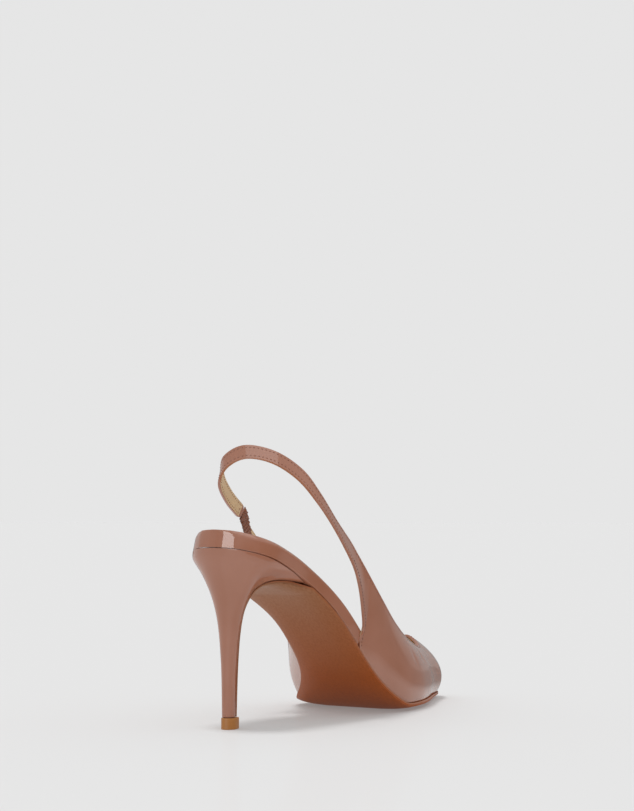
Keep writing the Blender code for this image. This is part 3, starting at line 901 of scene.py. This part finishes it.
def kid_lining():
    """Brushed kid leather: cream, matt, with a fine close grain."""
    cream = bpy.context.scene.pump_lining.colour
    found, tree = new_material("kid_leather_brushed")
    place = add(tree, "ShaderNodeTexCoord", out="Object")
    grain = add(tree, "ShaderNodeTexNoise", {"Vector": place, "Scale": 1.0 / KID_GRAIN, "Detail": 3.0})
    patch = add(tree, "ShaderNodeTexNoise", {"Vector": place, "Scale": 1.0 / KID_PATCH, "Detail": 2.0})
    shine = {"Roughness": 0.62, "Sheen Weight": 0.15}
    bump = {"Height": grain, "Strength": 0.35, "Distance": 0.0002}
    return finished(found, patch, (cream, shaded(cream, 0.80)), shine, bump)


def sole_leather():
    """Vegetable tanned bend, sanded and burnished: satin, with fibres along the sole, with painted light and
    reflection under the waist and painted shade under the ball.
    """
    look = bpy.context.scene.pump_sole
    found, tree = new_material("tanned_bend_burnished")
    place = add(tree, "ShaderNodeTexCoord", out="Object")
    along = add(tree, "ShaderNodeSeparateXYZ", {"Vector": place})
    # From the paler waist to the darker tread: painted light and reflection under the arch, painted shade at
    # the ball
    start, end = [PLACE.x + reach for reach in SOLE_LIGHT_TURNS]
    painted_light_share = add(tree, "ShaderNodeMapRange", {"Value": along, "From Min": start, "From Max": end})
    painted_light_mix = {"Factor": painted_light_share, FIRST: look.waist, SECOND: look.tread}
    base = add(tree, "ShaderNodeMix", painted_light_mix, MIXED, data_type="RGBA")
    drawn_out = add(tree, "ShaderNodeMapping", {"Vector": place, "Scale": (1.0, 6.0, 6.0)})
    fibre = add(tree, "ShaderNodeTexNoise", {"Vector": drawn_out, "Scale": 1.0 / FIBRE, "Detail": 5.0})
    streaks = {"Value": fibre, "From Min": 0.40, "From Max": 0.75, "To Max": 0.35}
    share = add(tree, "ShaderNodeMapRange", streaks)
    shine = {"Roughness": 0.42, "Specular IOR Level": 0.15}
    bump = {"Height": fibre, "Strength": 0.25, "Distance": 0.0001}
    return finished(found, share, (base, shaded(look.tread, 0.55)), shine, bump)


def raw_edge():
    """Cut and waxed edge of the sole: brighter orange tan, with the layers of the hide along it."""
    tan = bpy.context.scene.pump_sole.edge
    found, tree = new_material("tanned_bend_cut_edge")
    place = add(tree, "ShaderNodeTexCoord", out="Object")
    flattened = add(tree, "ShaderNodeMapping", {"Vector": place, "Scale": (0.3, 0.3, 3.0)})
    layers = add(tree, "ShaderNodeTexNoise", {"Vector": flattened, "Scale": 1.0 / HIDE_LAYER, "Detail": 3.0})
    shine = {"Roughness": 0.40, "Coat Weight": 0.15, "Coat Roughness": 0.35}
    bump = {"Height": layers, "Strength": 0.30, "Distance": 0.0001}
    return finished(found, layers, (tan, shaded(tan, 0.70)), shine, bump)


def lift_plastic():
    """Moulded polyurethane of the top lift: amber, satin, with a faint cast texture."""
    amber = bpy.context.scene.pump_sole.lift
    found, tree = new_material("polyurethane_moulded")
    place = add(tree, "ShaderNodeTexCoord", out="Object")
    grain = add(tree, "ShaderNodeTexNoise", {"Vector": place, "Scale": 1.0 / CAST_GRAIN, "Detail": 2.0})
    bump = {"Height": grain, "Strength": 0.20, "Distance": 0.0001}
    return finished(found, grain, (amber, shaded(amber, 0.85)), {"Roughness": 0.36}, bump)


def elastic_cover():
    """Knitted elastic under a thin glossy cover: brown, with fine ribs along it."""
    brown = bpy.context.scene.pump_elastic.colour
    found, tree = new_material("elastic_knitted_covered")
    sheet = add(tree, "ShaderNodeUVMap", uv_map="leather")
    # The wave's phase runs 20 times as fast as its coordinate
    wave = {"Vector": sheet, "Scale": 2.0 * math.pi / 20.0 / RIB, "Distortion": 1.5, "Detail": 2.0}
    ribs = add(tree, "ShaderNodeTexWave", wave, "Fac", bands_direction="Y")
    shine = {"Roughness": 0.45, "Coat Weight": 0.30, "Coat Roughness": 0.25}
    bump = {"Height": ribs, "Strength": 0.40, "Distance": 0.0002}
    return finished(found, ribs, (shaded(brown, 0.55), brown), shine, bump)


def thread_of(name, colour):
    """Bonded polyester thread, waxed: each stitch is a small pillow with a sheen, shaded by its twist."""
    found, tree = new_material(name)
    place = add(tree, "ShaderNodeTexCoord", out="Object")
    twist = add(tree, "ShaderNodeTexNoise", {"Vector": place, "Scale": 1.0 / THREAD_TWIST, "Detail": 1.0})
    return finished(found, twist, (colour, shaded(colour, 0.70)), {"Roughness": 0.35})


def waxed_thread():
    """Waxed polyester thread a shade darker than the leather."""
    return thread_of("polyester_thread_waxed", bpy.context.scene.pump_stitch.thread)


def thread_painted_hole_shade():
    """Waxed polyester thread far darker than the leather, a painted shade that stands for the dark stitch
    holes, so that the wings' row shows as dots.
    """
    return thread_of("polyester_thread_waxed_dark", bpy.context.scene.pump_stitch.rear_thread)


class PUMP_OT_upper(bpy.types.Operator):
    """Lacquered upper with its strap, and the lining inside it"""

    bl_idname = "pump.upper"
    bl_label = "Upper and lining"

    def execute(self, context):
        wall = context.scene.pump_lining.leather_wall
        grid = skin_grid(upper_run())
        leather = walled("upper_leather", grid, wall, LEATHER_EDGE, patent_leather)
        placed(leather, "patent_leather", "upper")
        sheet = grid_mesh("lining_guide", grid)
        count = ROWS_UP + 1
        depth = wall - LINING_OVERLAP
        inside = []
        for i in range(2, len(grid) - 2):
            column = [sheet.vertices[i * count + j] for j in range(1, count - 1)]
            inside.append([vertex.co - vertex.normal * depth for vertex in column])
        bpy.data.meshes.remove(sheet)
        placed(walled("upper_lining", inside, UPPER_WALL - wall, LINING_EDGE, kid_lining), "kid_lining")
        return {"FINISHED"}


def seam_path(run, surface, first, last, margin, low):
    """Places and normals on the outer face, margin in from the upper's lower or upper edge."""
    share = 0.0 if low else 1.0
    points = []
    for i in range(first, last + 1, 2):
        edge = skin_point(run.columns, i, share)
        ahead = skin_point(run.columns, min(i + 1, len(run.columns) - 1), share)
        along = (ahead - skin_point(run.columns, max(i - 1, 0), share)).normalized()
        normal = surface.find_nearest(skin_point(run.columns, i, abs(share - SLOPE_READ)))[1]
        inward = normal.cross(along)
        if inward.dot(skin_point(run.columns, i, 0.5) - edge) < 0.0:
            inward.negate()
        place, normal = surface.find_nearest(edge + inward * margin)[:2]
        points.append((place, normal))
    return points


def stitch_tree():
    """Geometry Nodes: one stitch on each point along the seams, laid along them."""
    tree = bpy.data.node_groups.new("stitches_along_seams", "GeometryNodeTree")
    tree.interface.new_socket("Seams", in_out="INPUT", socket_type="NodeSocketGeometry")
    for name in ("Pitch", "Length", "Width"):
        tree.interface.new_socket(name, in_out="INPUT", socket_type="NodeSocketFloat")
    tree.interface.new_socket("Thread", in_out="INPUT", socket_type="NodeSocketMaterial")
    tree.interface.new_socket("Stitches", in_out="OUTPUT", socket_type="NodeSocketGeometry")
    given = tree.nodes.new("NodeGroupInput").outputs
    spaced = {"Curve": given["Seams"], "Length": given["Pitch"]}
    points = add(tree, "GeometryNodeResampleCurve", spaced, mode="LENGTH")
    tangent = add(tree, "GeometryNodeInputTangent")
    turn = add(tree, "FunctionNodeAlignRotationToVector", {"Vector": tangent}, axis="Z")
    thread = add(tree, "GeometryNodeMeshUVSphere", {"Segments": 6, "Rings": 5, "Radius": 0.5})
    size = add(tree, "ShaderNodeCombineXYZ", {"X": given["Width"], "Y": given["Width"], "Z": given["Length"]})
    row = {"Points": points, "Instance": thread, "Rotation": turn, "Scale": size}
    laid = add(tree, "GeometryNodeInstanceOnPoints", row)
    real = add(tree, "GeometryNodeRealizeInstances", {"Geometry": laid})
    dyed = add(tree, "GeometryNodeSetMaterial", {"Geometry": real, "Material": given["Thread"]})
    add(tree, "NodeGroupOutput", {"Stitches": dyed})
    return tree


def stitched(name, seams, settings, pitch, look=waxed_thread):
    """Stitches along seams, each a list of places and normals, as one plain mesh."""
    curve = bpy.data.curves.new(name + "_seams", "CURVE")
    curve.dimensions = "3D"
    for seam in seams:
        spline = curve.splines.new("POLY")
        spline.points.add(len(seam) - 1)
        for point, (place, normal) in zip(spline.points, seam):
            point.co = (*(place + normal * settings.width * THREAD_STANDS), 1.0)
    made = new_object(name + "_seams", curve)
    laid = made.modifiers.new("stitches", "NODES")
    laid.node_group = made_once(stitch_tree)
    values = {
        "Pitch": pitch, "Length": pitch * settings.filled, "Width": settings.width, "Thread": made_once(look),
    }
    for socket in laid.node_group.interface.items_tree:
        if socket.name in values:
            laid[socket.identifier] = values[socket.name]
    return applied(made, name)


def tab_seam(run, back, margin):
    """A seam across the strap's tab, back from its end."""
    i = 0
    left = back
    while left > 0.0:
        i += 1
        left -= (skin_point(run.columns, i, 0.5) - skin_point(run.columns, i - 1, 0.5)).length
    column = run.columns[i]
    t = margin / (column[3] - column[0]).length
    shares = [t + (1.0 - 2.0 * t) * step / TAB_STEPS for step in range(TAB_STEPS + 1)]
    return [(skin_point(run.columns, i, share), skin_normal(run.columns, i, share)) for share in shares]


class PUMP_OT_stitches(bpy.types.Operator):
    """Seams along both edges of the strap, the wings and the topline"""

    bl_idname = "pump.stitches"
    bl_label = "Stitches"

    def execute(self, context):
        settings = context.scene.pump_stitch
        run = upper_run()
        grid = skin_grid(run)
        surface = BVHTree.FromPolygons([point for column in grid for point in column], grid_faces(grid))
        last = len(run.columns) - 1
        tip = COLUMNS_PER_ROW // 3
        margin = settings.margin
        edges = [
            seam_path(run, surface, tip, last - tip, margin, False),
            seam_path(run, surface, tip, run.outer_wing, margin, True),
            tab_seam(run, settings.tab_back, margin),
        ]
        rears = [
            seam_path(run, surface, run.outer_wing, run.outer_vamp - 1, settings.rear_margin, True),
            seam_path(run, surface, run.inner_vamp + 2, last - tip, settings.rear_margin, True),
        ]
        placed(stitched("edge_stitches", edges, settings, settings.pitch), "elastic_fabric")
        placed(stitched("rear_stitches", rears, settings, settings.wing_pitch, thread_painted_hole_shade), "elastic_fabric")
        inside = [seam_path(run, surface, tip, run.outer_wing, margin, low) for low in (False, True)]
        inside.append(tab_seam(run, settings.tab_back, margin))
        sink = UPPER_WALL + settings.width * THREAD_SINKS
        inside = [[(place - normal * sink, normal) for place, normal in seam] for seam in inside]
        placed(stitched("lining_stitches", inside, settings, settings.pitch), "elastic_fabric")
        return {"FINISHED"}


def elastic_route():
    """The handles of the elastic's middle line, from the strap's tab to the inner wing."""
    places = sling_points()
    tab = places[-1]
    run = (tab - mix(places, len(places) - 1.1)).normalized()
    inwards = Vector((run.y, -run.x, 0.0)).normalized() * UPPER_WALL / 2.0
    start = tab + run * 2.0 * GAP + inwards
    end = Vector((GORE_END[0] * LENGTH, GORE_END[1] * BALL_WIDTH, GORE_END[2] * SLING_HEIGHT))
    return [start, start + run * GORE_REACH, end.lerp(start, 0.5), end]


def elastic_grid(folds, depth):
    """The elastic as a grid of points, gathered in uneven folds, with its edges bitten in between them."""
    rng = random.Random(GATHER_SEED)
    route = elastic_route()
    leans = [rng.uniform(-FOLD_LEAN, FOLD_LEAN) for _ in range(folds + 1)]
    heights = [rng.uniform(FOLD_LEAST, 1.0) for _ in range(folds + 1)]
    grid = []
    for i in range(folds * FOLD_STEPS + 1):
        t = i / (folds * FOLD_STEPS)
        fold = min(folds, int(t * folds))
        run = (bezier(route, t + NUDGE) - bezier(route, t - NUDGE)).normalized()
        edges = strap_column(bezier(route, t), run, SLING_ROWS[-1].lean * (1.0 - t), GORE_WIDTH)
        up = (edges[-1] - edges[0]).normalized()
        outward = run.cross(up).normalized()
        bite = EDGE_BITE * math.cos(2.0 * math.pi * t * folds)
        row = []
        for j in range(ELASTIC_STEPS + 1):
            across = j / ELASTIC_STEPS
            phase = t * folds + leans[fold] * (across - 0.5)
            wave = math.sin(2.0 * math.pi * phase) * heights[fold] * depth
            edge = edges[0].lerp(edges[-1], across) + up * bite * (2.0 * across - 1.0)
            row.append(edge + outward * (wave + GORE_WALL / 2.0 - ELASTIC_SINK) + PLACE)
        grid.append(row)
    return grid


class PUMP_OT_elastic(bpy.types.Operator):
    """Gathered elastic from the strap's tab to the inner wing"""

    bl_idname = "pump.elastic"
    bl_label = "Elastic"

    def execute(self, context):
        settings = context.scene.pump_elastic
        grid = elastic_grid(settings.folds, settings.depth)
        made = walled("elastic_gathered", grid, GORE_WALL * ELASTIC_SHARE, ELASTIC_EDGE, elastic_cover)
        placed(made, "elastic_fabric", "elastic_gore")
        return {"FINISHED"}


def loft(name, rings, rounding, looks, second=()):
    """Closed solid through rings of points, flat at both ends, its edges rounded.

    The second finish goes on the strips round it that are numbered in second.
    """
    count = len(rings[0])
    mesh = bpy.data.meshes.new(name)
    faces = []
    for i in range(len(rings) - 1):
        for j in range(count):
            k = (j + 1) % count
            faces.append((i * count + j, i * count + k, (i + 1) * count + k, (i + 1) * count + j))
    faces.append(tuple(range(count - 1, -1, -1)))
    faces.append(tuple((len(rings) - 1) * count + j for j in range(count)))
    mesh.from_pydata([tuple(point + PLACE) for ring in rings for point in ring], [], faces)
    for look in looks:
        mesh.materials.append(made_once(look))
    for face in mesh.polygons[:-2]:
        if face.index % count in second:
            face.material_index = 1
    mesh.shade_smooth()
    shape = bmesh.new()
    shape.from_mesh(mesh)
    bmesh.ops.recalc_face_normals(shape, faces=shape.faces)
    shape.to_mesh(mesh)
    shape.free()
    made = new_object(name + "_cage", mesh)
    round_edges(made, rounding, SOLID_TURN)
    made.modifiers.new("shading", "WEIGHTED_NORMAL").keep_sharp = False
    return applied(made, name)


def bed_point(x, across, depth):
    """A place on or in the footbed: across its width, and above its underside."""
    narrow = smooth(x, BED_NARROWS[0] * LENGTH, BED_NARROWS[1] * LENGTH)
    inset = (UPPER_WALL + SOLE_LEDGE + 2.0 * GAP) * narrow
    return Vector((x, outline(x, across, inset, 0.0, BED_END), seat(x))) + seat_normal(x) * (GAP + depth)


def bed_depth(x):
    return RIM_DEPTH + (INSOLE_WALL - RIM_DEPTH) * smooth(x, BED_THINS[0] * LENGTH, BED_THINS[1] * LENGTH)


def bed_top(x, across):
    """Depth of the footbed above its underside: a shallow dish with a rounded rim."""
    ending = 1.0 - smooth(x, DISH_ENDS[0] * LENGTH, DISH_ENDS[1] * LENGTH)
    dish = SEAT_DISH * smooth(x, 0.0, DISH_START) * ending
    return bed_depth(x) - dish * (1.0 - smooth(abs(across), DISH_FLAT, DISH_RIM))


def rim_roll(x, side):
    """The rim's rolled edge on one side, from its widest place up to the dish."""
    roll = []
    for i in range(ROLL_STEPS):
        angle = 0.5 * math.pi * i / ROLL_STEPS
        across = DISH_RIM + (1.0 - DISH_RIM) * math.cos(angle)
        height = RIM_ROLLS + (1.0 - RIM_ROLLS) * math.sin(angle)
        roll.append(bed_point(x, side * across, bed_depth(x) * height))
    return roll


def footbed_rings():
    """The footbed: flat below, a straight rim and a rolled top edge."""
    rings = []
    for x in stations(0.0, BED_END):
        foot = RIM_FOOT * bed_depth(x)
        ring = [bed_point(x, -BED_FLAT, 0.0), bed_point(x, BED_FLAT, 0.0), bed_point(x, 1.0, foot)]
        ring += rim_roll(x, 1.0)
        for i in range(2 * BED_STEPS + 1):
            across = DISH_RIM * (1.0 - i / BED_STEPS)
            ring.append(bed_point(x, across, bed_top(x, across)))
        rings.append(ring + rim_roll(x, -1.0)[::-1] + [bed_point(x, -1.0, foot)])
    return rings


def sock_rings():
    """The sock: one thin layer over the footbed's dish."""
    end = FOOT_END - UPPER_WALL - 3.0 * SOCK_WALL
    places = [SOCK_EDGE * (i / SOCK_STEPS - 1.0) for i in range(2 * SOCK_STEPS + 1)]
    rings = []
    for x in stations(0.0, BED_END):
        if not DISH_START + SOCK_WALL / 2.0 < x < end:
            continue
        width = min(1.0, end_round(x, DISH_START, end) / end_round(x, 0.0, SOLE_END))
        ring = [bed_point(x, across * width, GAP + bed_top(x, across)) for across in places]
        for across in reversed(places):
            ring.append(bed_point(x, across * width, GAP + SOCK_WALL + bed_top(x, across)))
        rings.append(ring)
    return rings


class PUMP_OT_footbed(bpy.types.Operator):
    """Footbed with its wrapped rim, and the sock on it"""

    bl_idname = "pump.footbed"
    bl_label = "Footbed and sock"

    def execute(self, context):
        bed = loft("footbed_wrapped", footbed_rings(), SOLID_EDGE, [patent_leather])
        placed(bed, "patent_leather", "footbed")
        placed(loft("sock_lining", sock_rings(), THIN_EDGE, [kid_lining]), "kid_lining", "insole_sock")
        return {"FINISHED"}


def heel_height(x, down):
    """Height of a heel section at x: it follows the seat at the top and is level at the lift."""
    return seat(x) * (1.0 - down) + (LIFT_HEIGHT + GAP) * down


def heel_section(down, grow=0.0, reach=0.0):
    """One section of the heel as points round it, from the breast's inner corner round the back."""
    back = read(HEEL_ROWS, "back", down) * SEAT_LENGTH - grow
    front = read(HEEL_ROWS, "front", down) * SEAT_LENGTH + grow + reach
    half = read(HEEL_ROWS, "half", down) * SEAT_WIDTH / 2.0 + grow
    breast = read(HEEL_ROWS, "front_half", down) * SEAT_WIDTH / 2.0 + grow
    middle = back + HEEL_WIDEST * (front - back)
    side = []
    for i in range(SIDE_STEPS):
        t = i / SIDE_STEPS
        side.append((front + (middle - front) * t, breast + (half - breast) * math.sin(0.5 * math.pi * t)))
    round_back = []
    for i in range(HEEL_STEPS + 1):
        angle = math.pi * i / HEEL_STEPS
        round_back.append((middle - (middle - back) * math.sin(angle), half * math.cos(angle)))
    return side + round_back + [(x, -y) for x, y in reversed(side)]


def heel_steps():
    """Shares of the way down at which the heel is drawn, closer together at the top."""
    top = [HEEL_TOP * i / HEEL_STEPS for i in range(HEEL_STEPS)]
    return top + [HEEL_TOP + (1.0 - HEEL_TOP) * i / HEEL_STEPS for i in range(HEEL_STEPS + 1)]


class PUMP_OT_heel(bpy.types.Operator):
    """Covered heel and its top lift"""

    bl_idname = "pump.heel"
    bl_label = "Heel and top lift"

    def execute(self, context):
        rings = []
        for down in heel_steps():
            rings.append([Vector((x, y, heel_height(x, down))) for x, y in heel_section(down)])
        placed(loft("heel_covered", rings, SOLID_EDGE, [patent_leather]), "patent_leather", "heel")
        base = heel_section(1.0, LIFT_LEDGE, GAP + FLAP_WALL)
        rings = [[Vector((x, y, z)) for x, y in base] for z in (LIFT_HEIGHT, 0.0)]
        placed(loft("top_lift_moulded", rings, SOLID_EDGE, [lift_plastic]), "lift_plastic", "top_lift")
        return {"FINISHED"}


def sole_path():
    """Middle line of the sole's upper face from the toe to the lift, with its width and wall there."""
    path = []
    for x in reversed(stations(SEAT_LENGTH + BREAST_GAP, SOLE_END)):
        path.append((x, seat(x), outline(x, -1.0), outline(x, 1.0), sole_wall(x), seat_normal(x)))
    for down in heel_steps()[FLAP_BEGINS:]:
        front = read(HEEL_ROWS, "front", down) * SEAT_LENGTH
        half = read(HEEL_ROWS, "front_half", down) * SEAT_WIDTH / 2.0
        wall = SOLE_WALL + (FLAP_WALL - SOLE_WALL) * smooth(down, 0.0, FLAP_THIN_AT)
        path.append((front + GAP, heel_height(front, down) - GAP * (1.0 - down), -half, half, wall, None))
    return path


class PUMP_OT_sole(bpy.types.Operator):
    """Leather sole with its flap down the heel breast"""

    bl_idname = "pump.sole"
    bl_label = "Sole"

    def execute(self, context):
        path = sole_path()
        section_points = SOLE_HALF + [(-t, share) for t, share in SOLE_HALF[-2::-1]]
        rings = []
        for i, (x, z, outer, inner, wall, down) in enumerate(path):
            before = path[max(0, i - 1)]
            after = path[min(len(path) - 1, i + 1)]
            if down is None:
                down = Vector((after[1] - before[1], 0.0, before[0] - after[0])).normalized()
            middle = (inner + outer) / 2.0
            top = [Vector((x, middle + t * (inner - outer) / 2.0, z)) for t, share in section_points]
            under = [place - down * wall * share for place, (t, share) in zip(top, section_points)]
            rings.append(top[1:-1] + under[::-1])
        flat = len(section_points) - 2
        looks = [sole_leather, raw_edge]
        made = loft("sole_bend", rings, THIN_EDGE, looks, (flat - 1, 2 * flat + 1))
        placed(made, "sole_leather", "outsole")
        return {"FINISHED"}


def floor_sheet(back):
    """Satin white sheet: as pale as the backdrop, with a soft shadow and a faint mirror image in it."""
    settings = bpy.context.scene.pump_stage
    found, tree = new_material("vinyl_sheet_satin")
    place = add(tree, "ShaderNodeTexCoord", out="Object")
    lit = add(tree, "ShaderNodeBsdfDiffuse", {"Color": [settings.floor_white] * 3})
    glow = add(tree, "ShaderNodeEmission", {"Color": back, "Strength": settings.floor_glow})
    both = add(tree, "ShaderNodeAddShader", {0: lit, 1: glow})
    white = {"Color": (1.0, 1.0, 1.0), "Roughness": MIRROR_ROUGHNESS}
    mirror = add(tree, "ShaderNodeBsdfAnisotropic", white)
    near = add(tree, "ShaderNodeMixShader", {0: MIRROR_SHARE, 1: both, 2: mirror})
    way = (math.cos(SHEET_HEADING), math.sin(SHEET_HEADING), 0.0)
    far = add(tree, "ShaderNodeVectorMath", {0: place, 1: way}, "Value", operation="DOT_PRODUCT")
    ends = {"Value": far, "From Min": settings.sheet_reach, "From Max": settings.sheet_reach + SHEET_FADE}
    past = add(tree, "ShaderNodeMapRange", ends)
    glossy = add(tree, "ShaderNodeLightPath", out="Is Glossy Ray")
    share = add(tree, "ShaderNodeMath", {0: past, 1: glossy}, operation="MULTIPLY")
    beyond = add(tree, "ShaderNodeEmission", {"Color": back, "Strength": BEYOND_SHEET})
    whole = add(tree, "ShaderNodeMixShader", {0: share, 1: near, 2: beyond})
    add(tree, "ShaderNodeOutputMaterial", {"Surface": whole})
    return found


def studio_world(back):
    """The even backdrop, and for the gloss a darker room round it, low down and paler on one side."""
    world = bpy.data.worlds.new("studio")
    world.use_nodes = True
    tree = world.node_tree
    tree.nodes.clear()
    way = add(tree, "ShaderNodeTexCoord", out="Generated")
    heading = math.radians(CAMERA_HEADING)
    to_camera = (-math.cos(heading), -math.sin(heading), 0.0)
    facing = add(tree, "ShaderNodeVectorMath", {0: way, 1: to_camera}, "Value", operation="DOT_PRODUCT")
    height = add(tree, "ShaderNodeSeparateXYZ", {"Vector": way}, "Z")
    sideways = add(tree, "ShaderNodeVectorMath", {0: way, 1: PALE_WAY}, "Value", operation="DOT_PRODUCT")
    ranges = [
        (facing, *ROOM_BEGINS, 0.0, 1.0),
        (height, *ROOM_DARKENS, 0.0, 1.0),
        (sideways, *PALE_BEGINS, 1.0, PALE_SHARE),
    ]
    fades = []
    for value, start, end, first, last in ranges:
        ends = {"Value": value, "From Min": start, "From Max": end, "To Min": first, "To Max": last}
        fades.append(add(tree, "ShaderNodeMapRange", ends, interpolation_type="SMOOTHSTEP"))
    room, low, pale = fades
    glossy = add(tree, "ShaderNodeLightPath", out="Is Glossy Ray")
    dimmed = add(tree, "ShaderNodeMath", {0: glossy, 1: GLOSS_DIMMED}, operation="MULTIPLY")
    share = add(tree, "ShaderNodeMath", {0: room, 1: dimmed}, operation="MAXIMUM")
    for other in (pale, low):
        share = add(tree, "ShaderNodeMath", {0: share, 1: other}, operation="MULTIPLY")
    mixed = {"Factor": share, FIRST: back, SECOND: shaded(back, ROOM_BRIGHTNESS)}
    colour = add(tree, "ShaderNodeMix", mixed, MIXED, data_type="RGBA")
    shade = add(tree, "ShaderNodeBackground", {"Color": colour, "Strength": 1.0})
    add(tree, "ShaderNodeOutputWorld", {"Surface": shade})
    return world


def floor_under(back):
    """The sheet on the floor, as a wide square."""
    mesh = bpy.data.meshes.new("floor")
    signs = ((-1.0, -1.0), (1.0, -1.0), (1.0, 1.0), (-1.0, 1.0))
    mesh.from_pydata([(x * FLOOR_HALF, y * FLOOR_HALF, 0.0) for x, y in signs], [], [(0, 1, 2, 3)])
    mesh.materials.append(floor_sheet(back))
    floor = new_object("floor", mesh)
    floor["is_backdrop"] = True
    return floor


def collected(name, things):
    """A collection of the things that a lamp lights."""
    found = bpy.data.collections.new(name)
    for thing in things:
        found.objects.link(thing)
    return found


def softbox(box, power, lit):
    """A soft area light that is aimed at the shoe and lights only one collection."""
    data = bpy.data.lights.new(box.name, "AREA")
    data.shape = "RECTANGLE"
    data.size = box.width
    data.size_y = box.height
    data.energy = power
    made = new_object(box.name, data)
    heading = math.radians(CAMERA_HEADING + 180.0 - box.azimuth)
    up = math.radians(box.elevation)
    level = math.cos(up)
    away = Vector((math.cos(heading) * level, math.sin(heading) * level, math.sin(up)))
    made.location = Vector((0.0, 0.0, LAMP_AIM)) + away * box.distance
    made.rotation_euler = away.to_track_quat("Z", "Y").to_euler()
    made.light_linking.receiver_collection = lit
    return made


def light_shoe(settings):
    """Softboxes that only the shoe sees: behind the camera, overhead, and the bright floor before it."""
    shoe = collected("lit_by_softboxes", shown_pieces())
    behind = softbox(BEHIND_CAMERA, settings.box_power, shoe)
    softbox(OVERHEAD, settings.top_power, shoe)
    bounce = softbox(BRIGHT_FLOOR, settings.bounce_power, shoe)
    bounce.location.z = BRIGHT_FLOOR_HEIGHT
    turn = math.radians(CAMERA_HEADING - BRIGHT_FLOOR.azimuth + 90.0)
    bounce.rotation_euler = (math.pi, 0.0, turn)
    bounce.visible_camera = False
    for lamp in (behind, bounce):
        lamp.visible_diffuse = False


def light_floor(settings, floor):
    """The light from above that only the floor sees, which casts the shadow."""
    data = bpy.data.lights.new("shadow_from_above", "SUN")
    data.energy = settings.shadow
    data.angle = math.radians(SUN_WIDTH)
    sun = new_object("shadow_from_above", data)
    sun.rotation_euler = (math.radians(SUN_TURN[0]), math.radians(SUN_TURN[1]), 0.0)
    sun.light_linking.receiver_collection = collected("lit_from_above", [floor])


def camera_in_place():
    data = bpy.data.cameras.new("camera")
    data.sensor_fit = "VERTICAL"
    data.sensor_height = FILM_HEIGHT
    data.lens = CAMERA_LENS
    data.clip_start = 0.01
    camera = new_object("camera", data)
    camera.location = CAMERA_PLACE + PLACE
    camera.rotation_euler = (math.radians(90.0 + CAMERA_PITCH), 0.0, math.radians(CAMERA_HEADING - 90.0))
    return camera


class PUMP_OT_stage(bpy.types.Operator):
    """Pale floor, studio light and the camera"""

    bl_idname = "pump.stage"
    bl_label = "Stage"

    def execute(self, context):
        scene = context.scene
        settings = scene.pump_stage
        scene.view_settings.view_transform = "Standard"
        scene.view_settings.look = "None"
        back = tuple(settings.backdrop)
        scene.world = studio_world(back)
        floor = floor_under(back)
        light_shoe(settings)
        light_floor(settings, floor)
        scene.camera = camera_in_place()
        return {"FINISHED"}


class PUMP_PT_panel(bpy.types.Panel):
    """Sizes, colours and steps of the pump"""

    bl_idname = "PUMP_PT_panel"
    bl_label = "Slingback pump"
    bl_space_type = "VIEW_3D"
    bl_region_type = "UI"
    bl_category = "Pump"

    def draw(self, context):
        for name in SETTINGS:
            group = getattr(context.scene, name)
            box = self.layout.box()
            for key in group.__annotations__:
                box.prop(group, key)
        for operator in STEPS:
            self.layout.operator(operator.bl_idname)


SETTINGS = {
    "pump_patent": PatentSettings,
    "pump_lining": LiningSettings,
    "pump_stitch": StitchSettings,
    "pump_elastic": ElasticSettings,
    "pump_sole": SoleSettings,
    "pump_stage": StageSettings,
}
STEPS = [
    PUMP_OT_upper,
    PUMP_OT_stitches,
    PUMP_OT_elastic,
    PUMP_OT_footbed,
    PUMP_OT_heel,
    PUMP_OT_sole,
    PUMP_OT_stage,
]


def register():
    for name, group in SETTINGS.items():
        bpy.utils.register_class(group)
        setattr(bpy.types.Scene, name, bpy.props.PointerProperty(type=group))
    for made in STEPS + [PUMP_PT_panel]:
        bpy.utils.register_class(made)


def unregister():
    for made in reversed(STEPS + [PUMP_PT_panel]):
        bpy.utils.unregister_class(made)
    for name, group in reversed(list(SETTINGS.items())):
        delattr(bpy.types.Scene, name)
        bpy.utils.unregister_class(group)


def main():
    register()
    for operator in STEPS:
        area, action = operator.bl_idname.split(".")
        getattr(getattr(bpy.ops, area), action)()


if __name__ == "__main__":
    main()
